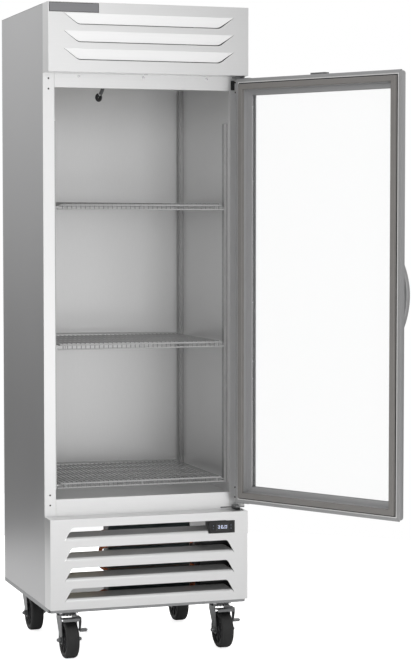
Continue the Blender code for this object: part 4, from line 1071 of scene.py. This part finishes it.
class FRIDGE_OT_shell(bpy.types.Operator):
    """Outer sheets, base, jambs, trims and the hidden insulation"""
    bl_idname = "fridge.shell"
    bl_label = "Cabinet shell"

    def execute(self, context):
        finishes = paints()
        edge = context.scene.fridge_sheet.edge
        for node in ("left_side_panel", "right_side_panel"):
            refine(node, finishes.side, edge)
        for node in ("back_panel", "top_panel", "base_pan"):
            refine(node, finishes.galvanised, edge)
        for node in ("left_jamb", "right_jamb"):
            refine(node, finishes.trim, edge)
        for node in ("header_strip", "sill_strip"):
            refine(node, finishes.front, edge)
        refine("inner_liner", finishes.liner, 0.0003)
        paint("insulation_foam", finishes.foam)
        self.fixings(finishes)
        return {"FINISHED"}

    def fixings(self, finishes):
        header_low, header_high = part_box("header_strip")
        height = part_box("upper_louver_panel")[0].z - 0.0085
        spacing = 0.223
        first = moved(screw(), CENTRE_X - spacing, JAMB_Y, height)
        row = along_line(first, 3, (spacing, 0, 0), finishes.bright)
        add_piece("header_screws", row, finishes.bright, "cabinet")
        sill_low, sill_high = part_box("sill_strip")
        panel_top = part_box("lower_louver_panel")[1].z
        slot = box((sill_high.x - 0.033, JAMB_Y - 0.0012, panel_top + 0.003),
                   (sill_high.x + 0.010, JAMB_Y - 0.0001, panel_top + 0.0065))
        add_piece("sill_slot_trim", bevelled(slot, 0.0004), finishes.black, "cabinet")
        lip = box((sill_low.x + 0.004, JAMB_Y - 0.0014, panel_top + 0.002),
                  (sill_low.x + 0.060, JAMB_Y - 0.0001, panel_top + 0.012))
        add_piece("sill_corner_plate", bevelled(lip, 0.0005), finishes.trim, "cabinet")
        base_low, base_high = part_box("base_pan")
        bumpers = []
        for x in (base_low.x + 0.012, base_high.x - 0.030):
            bumpers.append(bevelled(box((x, base_low.y + 0.002, base_low.z + 0.001),
                                        (x + 0.018, base_low.y + 0.009, base_low.z + 0.0108)), 0.0012, 3))
        add_piece("base_bumpers", joined(*bumpers), finishes.black, "cabinet")
        rail, spacing = (base_low.z + base_high.z) / 2 + 0.005, 0.2
        first = moved(screw(0.0035), CENTRE_X - spacing, base_low.y, rail)
        row = along_line(first, 3, (spacing, 0, 0), finishes.bright)
        add_piece("base_rail_screws", row, finishes.bright, "cabinet")
        plugs = []
        for x in (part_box("left_jamb")[0].x + 0.019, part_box("right_jamb")[1].x - 0.019):
            for inset in (0.0175, 0.0515):
                for height in (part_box("upper_louver_panel")[0].z - inset, panel_top + inset + 0.0205):
                    plugs.append(cylinder(0.0029, "Y", (x, height), JAMB_Y + 0.0002, JAMB_Y + 0.001))
        add_piece("jamb_hole_plugs", joined(*plugs), finishes.lens, "cabinet")
        # Painted shade: a thin black sheet on the jamb face beside the header's hinge-side end, standing in for the
        # shade the open door casts on the jamb there.
        painted_shade_sheet = box((header_high.x + 0.003, JAMB_Y - 0.00026, header_low.z + 0.002),
                     (header_high.x + 0.017, JAMB_Y - 0.00004, header_low.z + 0.034))
        add_piece("hinge_side_painted_shade", painted_shade_sheet, finishes.black, "cabinet")


class FRIDGE_OT_louvers(bpy.types.Operator):
    """Louver panels above and below the door, and the blank name plate"""
    bl_idname = "fridge.louvers"
    bl_label = "Louver panels"

    def execute(self, context):
        finishes, settings = paints(), context.scene.fridge_louver
        low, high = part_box("upper_louver_panel")
        half = (high.x - low.x) / 2
        louver = Louver(half - 0.052, half - 0.101, 0.037, 0.030)
        holes = [grown("top_hinge_bracket", 0.0005), grown("lock_bolt", 0.001)]
        hinges = [high.z - 0.036 - i * 0.0577 for i in range(3)]
        self.panel("upper", louver, hinges, -1, settings.upper_bend, settings.upper_angle, holes, 0.0024)
        self.name_plate(low, high, finishes)
        low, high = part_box("lower_louver_panel")
        louver = Louver(half - 0.049, half - 0.074, 0.043, 0.014)
        bezel_low, bezel_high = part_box("controller_body")
        window = box((bezel_low.x - HAIR, low.y - 0.01, bezel_low.z - HAIR),
                     (bezel_high.x + HAIR, low.y + 0.01, bezel_high.z + HAIR))
        holes = [grown("bottom_hinge_bracket", 0.0005), window]
        hinges = [high.z - 0.071 - i * 0.068 for i in range(4)]
        self.panel("lower", louver, hinges, 1, settings.lower_bend, settings.lower_angle, holes, 0.0,
                   bezel_low.x - 0.004)
        return {"FINISHED"}

    def panel(self, level, louver, *shape):
        node = level + "_louver_panel"
        mesh = louver_panel(node, louver, *shape)
        add_piece(level + "_louvers", mesh, paints().front, "cabinet", (node,), 24)

    def name_plate(self, low, high, finishes):
        """Blank plate with a raised rim at the panel's upper left."""
        left, top, width, height, rim = low.x + 0.003, high.z - 0.0025, 0.168, 0.031, 0.0018
        front = low.y - 0.0001
        plate = bevelled(box((left, front - 0.0009, top - height), (left + width, front, top)), HAIR)
        add_piece("name_plate", plate, finishes.badge, "cabinet")
        section = [(0, front - 0.0009), (rim, front - 0.0009), (rim, front - 0.0016), (0, front - 0.0016)]
        frame_low, frame_high = Vector((left, 0, top - height)), Vector((left + width, 0, top))
        rim = bevelled(door_ring(frame_low, frame_high, section), 0.0002)
        add_piece("name_plate_rim", rim, finishes.lens, "cabinet")


class FRIDGE_OT_shelves(bpy.types.Operator):
    """Wire shelves, slotted uprights, clips and the hanging probe"""
    bl_idname = "fridge.shelves"
    bl_label = "Shelves and uprights"

    def execute(self, context):
        finishes, settings = paints(), context.scene.fridge_shelf
        uprights = [node for node in NODES if node.endswith("_pilaster")]
        for node in uprights:
            add_piece(node + "_slotted", upright(node, settings.slot_pitch), finishes.pilaster, "cabinet",
                      (node,))
        for node in ("top_shelf", "middle_shelf", "bottom_shelf"):
            wires, rods = shelf_wires(node, settings, finishes.wire)
            add_piece(node + "_wires", wires, finishes.wire, body_of(node), (node,), 50)
            add_piece(node + "_rods", rods, finishes.rod, body_of(node), (), 50)
            shelf_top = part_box(node)[1].z
            clips = []
            for name in uprights:
                low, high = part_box(name)
                toward = 1 if low.x > CENTRE_X else -1
                x = low.x if toward > 0 else high.x
                clips.append(shelf_clip(x, (low.y + high.y) / 2, shelf_top - settings.rod * 1.5, toward))
            add_piece(node + "_clips", joined(*clips), finishes.bright, "cabinet")
        self.probe(finishes)
        return {"FINISHED"}

    def probe(self, finishes):
        """Open clip on a strap that hangs from a foot on the ceiling."""
        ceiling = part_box("inner_liner")[1].z - SHEET
        x, y = CENTRE_X - 0.086, JAMB_Y + 0.25
        strap = smooth_path([(x + 0.020, y, ceiling - 0.0003), (x + 0.020, y, ceiling - 0.014),
                             (x + 0.014, y, ceiling - 0.038), (x + 0.006, y, ceiling - 0.056)], 5)
        add_piece("probe_strap", tube(strap, 0.0062, 12), finishes.zinc, "cabinet", (), 50)
        ring = [(x + 0.0065 * math.cos(angle), y, ceiling - 0.066 + 0.0095 * math.sin(angle))
                for angle in (math.radians(100 + 300 * i / 20) for i in range(21))]
        add_piece("probe_clip", tube(ring, 0.0058, 12), finishes.black, "cabinet", (), 50)
        foot = bevelled(cylinder(0.012, "Z", (x + 0.022, y), ceiling - 0.0035, ceiling - HAIR), 0.0008)
        add_piece("probe_foot", foot, finishes.black, "cabinet")


class FRIDGE_OT_door(bpy.types.Operator):
    """Door frame, glass pack, gasket, handle, strike and hinges"""
    bl_idname = "fridge.door"
    bl_label = "Glass door"

    def execute(self, context):
        finishes, settings = paints(), context.scene.fridge_door
        for node in ("door_hinge_stile", "door_latch_stile", "door_top_rail", "door_bottom_rail"):
            refine(node, finishes.frame, 0.0004)
        for node in ("door_inner_glass", "door_outer_glass"):
            paint(node, finishes.glass)
        for node in ("door_lock_strike", "door_hinge_arm_top", "door_hinge_arm_bottom", "top_hinge_bracket",
                     "bottom_hinge_bracket", "lock_bolt"):
            refine(node, finishes.zinc, 0.0006, 3)
        self.gasket(finishes)
        self.spacer(finishes)
        low, high = door_box("door_handle")
        handle = moved(bow_handle(low, high, settings.handle_width), DOOR_PLACE)
        add_piece("bow_handle", handle, finishes.handle, "door", ("door_handle",), 50)
        self.hinge_cam(finishes)
        return {"FINISHED"}

    def gasket(self, finishes):
        """Bellows, with a painted highlight (a white strip) and a painted shadow (a black strip) along its outer edge.
        """
        low, high = door_box("door_gasket")
        frame_face = door_box("door_hinge_stile")[1].y
        ring = door_ring(low, high, gasket_section(frame_face + HAIR))
        add_piece("gasket_bellows", moved(ring, DOOR_PLACE), finishes.gasket, "door",
                  ("door_gasket",), 25)
        under, over = frame_face + HAIR, frame_face + 0.0009
        # Painted light: a white strip on the frame face stands in for the bright highlight line beside the gasket, and
        # a black strip stands in for the gasket's shadow on the frame.
        for name, outer, inner, finish in (("gasket_painted_highlight", -0.0042, -0.0008, finishes.white),
                                           ("gasket_painted_shadow", -0.0007, 0.0028, finishes.black)):
            section = [(outer, under), (inner, under), (inner, over), (outer, over)]
            add_piece(name, moved(door_ring(low, high, section), DOOR_PLACE), finish, "door")

    def spacer(self, finishes):
        """Bright bar between the two panes, all round."""
        inner_low, inner_high = door_box("door_inner_glass")
        outer_high = door_box("door_outer_glass")[1]
        near, far = outer_high.y + HAIR, inner_low.y - HAIR
        section = [(0.0012, near), (0.0024, near), (0.0030, near + 0.001),
                   (0.0030, far - 0.001), (0.0024, far), (0.0012, far)]
        ring = moved(door_ring(inner_low, inner_high, section), DOOR_PLACE)
        add_piece("glass_spacer", ring, finishes.bright, "door")

    def hinge_cam(self, finishes):
        """White nylon dome around the lower hinge pin."""
        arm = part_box("door_hinge_arm_bottom")[0].z
        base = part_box("lower_louver_panel")[1].z + 0.0136
        profile = [(0.0086, base), (0.0100, base), (0.0100, base + 0.003), (0.0094, arm - 0.0022),
                   (0.0088, arm - HAIR), (0.0086, arm - HAIR)]
        dome = turned(profile, "Z", (DOOR_PIVOT.x, DOOR_PIVOT.y))
        add_piece("hinge_cam", dome, finishes.white, "cabinet", (), 40)


class FRIDGE_OT_controller(bpy.types.Operator):
    """Temperature controller with its display and four buttons"""
    bl_idname = "fridge.controller"
    bl_label = "Controller"

    def execute(self, context):
        finishes = paints()
        refine("controller_body", finishes.black, 0.0006, 3)
        low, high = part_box("controller_body")
        front = low.y
        centre_x, centre_z = (low.x + high.x) / 2, (low.z + high.z) / 2
        lens = box((centre_x - 0.023, front - 0.0006, centre_z - 0.012),
                   (centre_x + 0.023, front - 0.0001, centre_z + 0.012))
        add_piece("display_lens", bevelled(lens, 0.0003), finishes.lens, "cabinet")
        digits = seven_segments("36.0", centre_x - 0.0165, centre_z - 0.0054, 0.0108, front - 0.0006)
        add_piece("display_digits", digits, finishes.digits, "cabinet")
        for i in range(1, 5):
            node = "controller_button_%d" % i
            refine(node, finishes.black, 0.0004, 3)
            self.icon(node, i, finishes)
        return {"FINISHED"}

    def icon(self, node, number, finishes):
        """Plain mark on a button: a bar, a plus, a ring or an arrow."""
        low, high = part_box(node)
        x, z, front, size = (low.x + high.x) / 2, (low.z + high.z) / 2, low.y, 0.0017
        face, stroke = front - 0.0003, 0.0003
        shapes = [box((x - size, face, z - stroke), (x + size, front - 0.00002, z + stroke))]
        if number == 1:
            shapes.append(box((x - stroke, face, z - size), (x + stroke, front - 0.00002, z + size)))
        if number == 3:
            ring = [(x + size * math.cos(a), front - 0.0002, z + size * math.sin(a))
                    for a in (2 * math.pi * i / 16 for i in range(15))]
            shapes = [tube(ring, 0.00025, 6)]
        if number == 4:
            arrow = [(x - size, z - 0.0002), (x, z - size), (x + size, z - 0.0002)]
            shapes.append(prism(arrow, "Y", face, front - 0.00002))
        # Painted glow: the marks shine by their own emission.
        add_piece(node + "_mark", joined(*shapes), finishes.icons, body_of(node))


class FRIDGE_OT_machinery(bpy.types.Operator):
    """Condenser, compressor, evaporator and their fans"""
    bl_idname = "fridge.machinery"
    bl_label = "Machinery"

    def execute(self, context):
        finishes, settings = paints(), context.scene.fridge_machine
        for prefix, spread in (("condenser", 1.0), ("evaporator", 1.5)):
            pitch = settings.fin_pitch * spread
            coil_pieces(prefix, prefix + "_coil", 0.0254, settings.tube / 2, pitch, "cabinet")
        refine("condenser_fan_shroud", finishes.galvanised, 0.0004)
        refine("evaporator_housing", finishes.galvanised, 0.0008)
        self.fans(settings, finishes)
        self.compressor(settings, finishes)
        return {"FINISHED"}

    def fans(self, settings, finishes):
        for node, axis in (("condenser_fan", "Y"), ("evaporator_fan", "Z")):
            place = Vector(JOINTS[node + "_spin"]["pos_m"])
            low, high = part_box(node)
            radius = (high.x - low.x) / 2 * 0.985
            hub = radius * 0.27
            depth = 0.020
            wheel = fan_wheel(radius, hub, depth, settings.blades, finishes.black)
            profile = [(0, 0.0), (hub * 0.9, 0.0), (hub * 0.95, 0.003), (hub * 0.95, 0.034),
                       (hub * 0.6, 0.038), (0, 0.038)]
            motor = turned(profile, "Z", steps=32)
            motor = joined(moved(motor, 0, 0, depth / 2 + 0.004),
                           cylinder(0.003, "Z", (0, 0), depth / 2 - 0.002, depth / 2 + 0.006, 16))
            reach = radius * 1.10
            arm = tube([(hub * 0.8, 0, depth / 2 + 0.030), (reach * 0.8, 0, depth / 2 + 0.030),
                        (reach, 0, depth / 2 + 0.012), (reach, 0, -0.002)], 0.0024, 8)
            arms = around_axis(arm, 3, finishes.zinc)
            turn = Matrix.Rotation(math.radians(-90), 4, "X") if axis == "Y" else Matrix.Identity(4)
            where = Matrix.Translation(place) @ turn
            add_piece(node + "_wheel", moved(wheel, where), finishes.black, body_of(node),
                      (node,), 50)
            add_piece(node + "_motor", moved(motor, where), finishes.enamel, "cabinet", (), 40)
            add_piece(node + "_bracket", moved(arms, where), finishes.zinc, "cabinet", (), 50)

    def compressor(self, settings, finishes):
        low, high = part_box("compressor")
        x, y = (low.x + high.x) / 2, (low.y + high.y) / 2
        radius, height = (high.x - low.x) / 2.08, high.z - low.z
        waist = [(0.0, 0.0), (0.62, 0.0), (0.80, 0.02), (0.92, 0.10), (0.99, 0.22), (1.0, 0.35), (1.0, 0.55),
                 (1.04, 0.56), (1.04, 0.60), (1.0, 0.61), (0.985, 0.70), (0.93, 0.80), (0.82, 0.89),
                 (0.64, 0.96), (0.38, 0.995), (0.0, 1.0)]
        pot = turned([(radius * r, low.z + height * h) for r, h in waist], "Z", (x, y), 64)
        feet = box((x - radius * 0.95, y - radius * 0.6, low.z),
                   (x + radius * 0.95, y + radius * 0.6, low.z + 0.004))
        add_piece("compressor_pot", joined(pot, bevelled(feet, 0.001)), finishes.enamel, "cabinet",
                  ("compressor",), 40)
        cover = box((x - radius - 0.022, y - 0.03, low.z + height * 0.30),
                    (x - radius + 0.012, y + 0.03, low.z + height * 0.68))
        add_piece("terminal_cover", bevelled(cover, 0.004, 4), finishes.black, "cabinet")
        coil_low, coil_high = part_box("condenser_coil")
        top = low.z + height * 0.75
        routes = [[(x, y - radius * 0.9, top), (x, y - radius - 0.03, top + 0.01),
                   (x - 0.01, y - 0.20, top + 0.04),
                   (coil_high.x + 0.016, coil_high.y + 0.02, top + 0.045),
                   (coil_high.x + 0.006, coil_high.y - 0.012, top + 0.046),
                   (coil_high.x - 0.004, coil_high.y - 0.012, top + 0.046)],
                  [(x + 0.02, y + radius * 0.85, top), (x + 0.02, y + radius + 0.04, top + 0.03),
                   (x - 0.05, y + radius + 0.08, top + 0.08), (x - 0.16, y + radius + 0.09, top + 0.10),
                   (x - 0.20, y + radius + 0.09, top + 0.16)]]
        pipes = [tube(smooth_path(route, 6), settings.tube / 2, 12) for route in routes]
        add_piece("refrigerant_pipes", joined(*pipes), finishes.copper, "cabinet", (), 50)
        box_low = Vector((coil_high.x + 0.028, coil_low.y - 0.02, low.z + 0.004))
        relay = bevelled(box(box_low, box_low + Vector((0.115, 0.060, 0.228))), 0.003, 3)
        add_piece("electrical_box", relay, finishes.black, "cabinet")
        rail = box((box_low.x + 0.030, box_low.y - 0.016, box_low.z + 0.205),
                   (box_low.x + 0.118, box_low.y - 0.0005, box_low.z + 0.216))
        add_piece("wiring_rail", bevelled(rail, 0.0008), finishes.bright, "cabinet")
        hood = box((coil_low.x + 0.215, coil_low.y - 0.004, coil_high.z + 0.0008),
                   (box_low.x + 0.118, coil_high.y, coil_high.z + 0.016))
        add_piece("wiring_duct", bevelled(hood, 0.001), finishes.black, "cabinet")


class FRIDGE_OT_casters(bpy.types.Operator):
    """Four swivel casters with brakes on the front pair"""
    bl_idname = "fridge.casters"
    bl_label = "Casters"

    def execute(self, context):
        finishes, settings = paints(), context.scene.fridge_caster
        for name in CASTERS:
            refine(name + "_caster_plate", finishes.zinc, 0.0008, 3)
            refine(name + "_caster_fork", finishes.zinc, 0.0008, 3)
            self.race_and_bolts(name, settings, finishes)
            self.axle_nuts(name, finishes)
            self.wheel(name, finishes)
            if name.endswith("front"):
                self.brake_bridge(name, finishes)
                self.brake_lever(name, finishes)
        return {"FINISHED"}

    def race_and_bolts(self, name, settings, finishes):
        """Toothed crown under the race, its balls, and the four bolts of the plate."""
        swivel = Vector(JOINTS[name + "_swivel"]["pos_m"])
        low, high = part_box(name + "_caster_plate")
        fork_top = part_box(name + "_caster_fork")[1].z
        ball = turned([(0, -0.0028), (0.0020, -0.0020), (0.0028, 0.0), (0.0020, 0.0020), (0, 0.0028)], "Z",
                      (0.0262, 0.0), 10)
        balls = around_axis(ball, settings.balls, finishes.bright)
        add_piece(name + "_race_balls", moved(balls, swivel.x, swivel.y, low.z + 0.0022), finishes.bright,
                  "cabinet", (), 60)
        tooth = bevelled(box((0.0288, -0.0022, -0.0085), (0.0318, 0.0022, -0.0022)), 0.0006)
        teeth = around_axis(tooth, settings.balls, finishes.black)
        add_piece(name + "_crown_teeth", moved(teeth, swivel.x, swivel.y, fork_top), finishes.black,
                  name + "_fork")
        bolt = hexagon(0.0065, "Z", (0, 0), high.z - 0.0085, high.z - 0.0031)
        start = moved(bolt, low.x + 0.010, low.y + 0.012, 0)
        row = along_line(start, 2, (high.x - low.x - 0.020, 0, 0), finishes.bright)
        bolts = along_line(row, 2, (0, high.y - low.y - 0.024, 0), finishes.bright)
        add_piece(name + "_plate_bolts", bolts, finishes.bright, "cabinet")

    def axle_nuts(self, name, finishes):
        axle = Vector(JOINTS[name + "_roll"]["pos_m"])
        low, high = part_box(name + "_caster_fork")
        parts = []
        for end, inwards in ((low.x, 1), (high.x, -1)):
            faces = sorted((end + inwards * 0.0005, end + inwards * 0.0078))
            parts.append(hexagon(0.0105, "X", (axle.y, axle.z), *faces))
            reach = [(0.0, -0.0070), (0.0040, -0.0064), (0.0056, -0.0040), (0.0062, 0.0006), (0.0, 0.0006)]
            profile = [(radius, end + inwards * level) for radius, level in reach]
            parts.append(turned(profile, "X", (axle.y, axle.z), 20))
        add_piece(name + "_axle_nuts", joined(*parts), finishes.zinc, name + "_fork")

    def brake_bridge(self, name, finishes):
        """Bent plate over the front of the wheel that carries the brake."""
        swivel = Vector(JOINTS[name + "_swivel"]["pos_m"])
        fork_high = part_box(name + "_caster_fork")[1]
        top, reach = fork_high.z - 0.0082, fork_high.x - swivel.x
        outline = [(reach, -0.022), (reach, -0.062), (reach - 0.012, -0.082), (0.004 - reach, -0.082),
                   (-0.001 - reach, -0.060), (0.002 - reach, -0.050), (reach - 0.013, -0.050),
                   (reach - 0.013, -0.022)]
        plate = prism(outline, "Z", top - 0.0025, top)
        lip = box((0.004 - reach, -0.082, top - 0.0095), (reach - 0.012, -0.0797, top - 0.0023))
        outline = [(-0.062, top - 0.0023), (-0.062, top - 0.016), (-0.050, top - 0.050), (-0.036, top - 0.050),
                   (-0.030, top - 0.0023)]
        flange = prism(outline, "X", reach - 0.0024, reach)
        bridge = moved(bevelled(joined(plate, lip, flange), 0.0006), swivel.x, swivel.y, 0)
        add_piece(name + "_brake_bridge", bridge, finishes.zinc, name + "_fork")

    def brake_lever(self, name, finishes):
        """Side plate with its cam, and the tab for the foot."""
        node = name + "_brake_pedal"
        pivot = Vector(JOINTS[name + "_brake_press"]["pos_m"])
        low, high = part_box(node)
        outline = [(0.010, 0.008), (-0.026, 0.0062), (-0.044, 0.0042), (-0.047, 0.0010), (-0.032, -0.008),
                   (-0.022, -0.022), (-0.008, -0.033), (0.006, -0.030), (0.012, -0.012)]
        plate = prism([(pivot.y + y, pivot.z + z) for y, z in outline], "X", low.x, low.x + 0.0022)
        tab = box((low.x + 0.0010, pivot.y - 0.047, pivot.z + 0.0018),
                  (high.x, pivot.y - 0.023, pivot.z + 0.0042))
        lip = box((low.x + 0.0050, pivot.y - 0.047, pivot.z - 0.0035),
                  (high.x - 0.003, pivot.y - 0.0446, pivot.z + 0.0020))
        cam_y, cam_z = pivot.y - 0.012, pivot.z - 0.014
        cam = cylinder(0.0122, "X", (cam_y, cam_z), low.x + 0.0020, low.x + 0.0064, 28)
        tooth = box((0.0118, -0.0012, -0.0018), (0.0142, 0.0012, 0.0018))
        turn = Matrix.Translation((low.x + 0.0042, cam_y, cam_z)) @ Matrix.Rotation(math.radians(90), 4, "Y")
        teeth = moved(around_axis(tooth, 16, finishes.zinc), turn)
        lever = joined(bevelled(joined(plate, tab, lip, cam), 0.0005), teeth)
        add_piece(name + "_brake_lever", lever, finishes.zinc, body_of(node), (node,))

    def wheel(self, name, finishes):
        node = name + "_caster_wheel"
        low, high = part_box(node)
        axle = Vector(JOINTS[name + "_roll"]["pos_m"])
        half, tread = (high.x - low.x) / 2, (high.z - low.z) / 2
        side = [(tread - below, half - inside) for below, inside in TYRE_SIDE]
        profile = both_sides(side)
        tyre = moved(turned(profile, "X", (0, 0), 96), *axle)
        add_piece(name + "_tyre", tyre, finishes.tyre, name + "_wheel", (node,), 40)
        rim = tread - 0.0180
        side = [(0.0053, half), (0.0125, half), (0.0140, half - 0.0012), (0.0150, half - 0.006),
                (rim - 0.010, half - 0.0100), (rim - 0.003, half - 0.0085), (rim, half - 0.0080)]
        profile = both_sides(side)
        core = turned(profile, "X", (0, 0), 64)
        rib = bevelled(box((0.0145, -0.0014, -(half - 0.0045)), (rim - 0.002, 0.0014, half - 0.0045)), 0.0005)
        ribs = moved(around_axis(rib, 8, finishes.hub), Matrix.Rotation(math.radians(90), 4, "Y"))
        hub = moved(joined(core, ribs), *axle)
        add_piece(name + "_hub", hub, finishes.hub, name + "_wheel", (), 35)


class FRIDGE_OT_stage(bpy.types.Operator):
    """Pale floor, soft light, plain white surroundings and the camera"""
    bl_idname = "fridge.stage"
    bl_label = "Stage"

    def execute(self, context):
        scene, settings = context.scene, context.scene.fridge_stage
        scene.view_settings.view_transform = "Standard"
        self.floor(settings)
        self.world(scene)
        self.light("key_strip", (1.05, -5.6, 1.75), (0, 0.3, 1.15), 1.4, 3.4, settings.key_power)
        self.light("low_bounce", (1.2, -5.6, 0.1), (0, 0.3, 2.0), 4.0, 0.7, settings.bounce_power)
        self.light("front_fill", (-1.6, -6.0, 2.6), (0, 0, 1.1), 3.2, 2.4, settings.fill_power)
        self.camera(scene)
        return {"FINISHED"}

    def floor(self, settings):
        mesh = bpy.data.meshes.new("floor")
        bm = bmesh.new()
        bmesh.ops.create_circle(bm, cap_ends=True, segments=96, radius=settings.floor_radius)
        bm.to_mesh(mesh)
        bm.free()
        floor = bpy.data.objects.new("floor", mesh)
        floor.location = (CENTRE_X, JAMB_Y, -0.0005)
        bpy.context.scene.collection.objects.link(floor)
        white = Finish("pale_floor", (0.93, 0.93, 0.93), 0.8)
        dust = white.noise(white.place, 3.0, 3.0)
        white.shade(dust, 0.99, 1.01)
        white.set("Emission Strength", 0.8)
        seen = white.node("ShaderNodeLightPath", None, None, "Is Camera Ray")
        white.set("Emission Color", white.mix(seen, (0.0, 0.0, 0.0, 1.0), (1.0, 1.0, 1.0, 1.0)))
        mesh.materials.append(white.material)

    def world(self, scene):
        """White to the eye; for light and reflections brighter above and darker low behind."""
        scene.world = bpy.data.worlds.new("studio")
        scene.world.use_nodes = True
        graph = Graph(scene.world.node_tree)
        for node in list(graph.tree.nodes):
            graph.tree.nodes.remove(node)
        ray = graph.node("ShaderNodeTexCoord", None, None, "Generated")
        split = graph.tree.nodes.new("ShaderNodeSeparateXYZ")
        graph.tree.links.new(ray.socket, split.inputs[0])
        height = Wire(graph, split.outputs["Z"]) * 0.5 + 0.5
        depth = Wire(graph, split.outputs["Y"]) * 0.5 + 0.5
        stops = ((0.30, 0.02), (0.455, 0.03), (0.50, 0.42), (0.56, 0.90), (0.75, 1.0))
        behind = graph.node("ShaderNodeValToRGB", {"stops": stops}, {0: height})
        stops = ((0.25, 0.50), (0.36, 1.0), (0.41, 0.95), (0.47, 0.45), (0.52, 0.34), (0.60, 0.40), (0.80, 0.75))
        before = graph.node("ShaderNodeValToRGB", {"stops": stops}, {0: height})
        side = graph.node("ShaderNodeValToRGB", {"stops": ((0.30, 1.0), (0.55, 0.0))}, {0: depth})
        both = graph.mix(side, behind, before)
        seen = graph.node("ShaderNodeLightPath", None, None, "Is Camera Ray")
        tone = graph.mix(seen, both, (1.0, 1.0, 1.0, 1.0))
        back = graph.node("ShaderNodeBackground", None, {"Color": tone, "Strength": 1.0})
        out = graph.tree.nodes.new("ShaderNodeOutputWorld")
        graph.tree.links.new(back.socket, out.inputs["Surface"])

    def light(self, name, place, target, width, height, power):
        data = bpy.data.lights.new(name, "AREA")
        data.shape = "RECTANGLE"
        data.size, data.size_y, data.energy = width, height, power
        lamp = bpy.data.objects.new(name, data)
        offset = Vector((CENTRE_X, JAMB_Y, 0))
        lamp.location = Vector(place) + offset
        lamp.rotation_euler = (Vector(target) - Vector(place)).to_track_quat("-Z", "Y").to_euler()
        bpy.context.scene.collection.objects.link(lamp)

    def camera(self, scene):
        """Standing eye height, in front and to the left, with a long lens."""
        data = bpy.data.cameras.new("view")
        data.sensor_width = 36.0
        data.lens = 110.0
        camera = bpy.data.objects.new("view", data)
        camera.location = (CENTRE_X - 1.9534, JAMB_Y - 6.4943, 1.4627)
        camera.rotation_euler = (math.radians(90 - 3.118), 0, math.radians(-18.50))
        scene.collection.objects.link(camera)
        scene.camera = camera


class FRIDGE_PT_panel(bpy.types.Panel):
    """Settings and steps of the refrigerator"""
    bl_label = "Refrigerator"
    bl_idname = "FRIDGE_PT_panel"
    bl_space_type = "VIEW_3D"
    bl_region_type = "UI"
    bl_category = "Refrigerator"

    def draw(self, context):
        for name in SETTINGS:
            settings = getattr(context.scene, name)
            section = self.layout.box()
            for key in settings.bl_rna.properties.keys():
                if key not in ("rna_type", "name"):
                    section.prop(settings, key)
        for operator in OPERATORS:
            self.layout.operator(operator.bl_idname)


SETTINGS = {
    "fridge_sheet": SheetSettings, "fridge_louver": LouverSettings, "fridge_shelf": ShelfSettings,
    "fridge_door": DoorSettings, "fridge_machine": MachineSettings, "fridge_caster": CasterSettings,
    "fridge_stage": StageSettings,
}
OPERATORS = (FRIDGE_OT_stage, FRIDGE_OT_shell, FRIDGE_OT_louvers, FRIDGE_OT_shelves, FRIDGE_OT_door,
             FRIDGE_OT_controller, FRIDGE_OT_machinery, FRIDGE_OT_casters)


def register():
    for settings in (*SETTINGS.values(), *OPERATORS, FRIDGE_PT_panel):
        bpy.utils.register_class(settings)
    for name, settings in SETTINGS.items():
        setattr(bpy.types.Scene, name, PointerProperty(type=settings))


def unregister():
    for name in SETTINGS:
        delattr(bpy.types.Scene, name)
    for settings in reversed((*SETTINGS.values(), *OPERATORS, FRIDGE_PT_panel)):
        bpy.utils.unregister_class(settings)


def main():
    register()
    for operator in OPERATORS:
        group, name = operator.bl_idname.split(".")
        getattr(getattr(bpy.ops, group), name)()


if __name__ == "__main__":
    main()
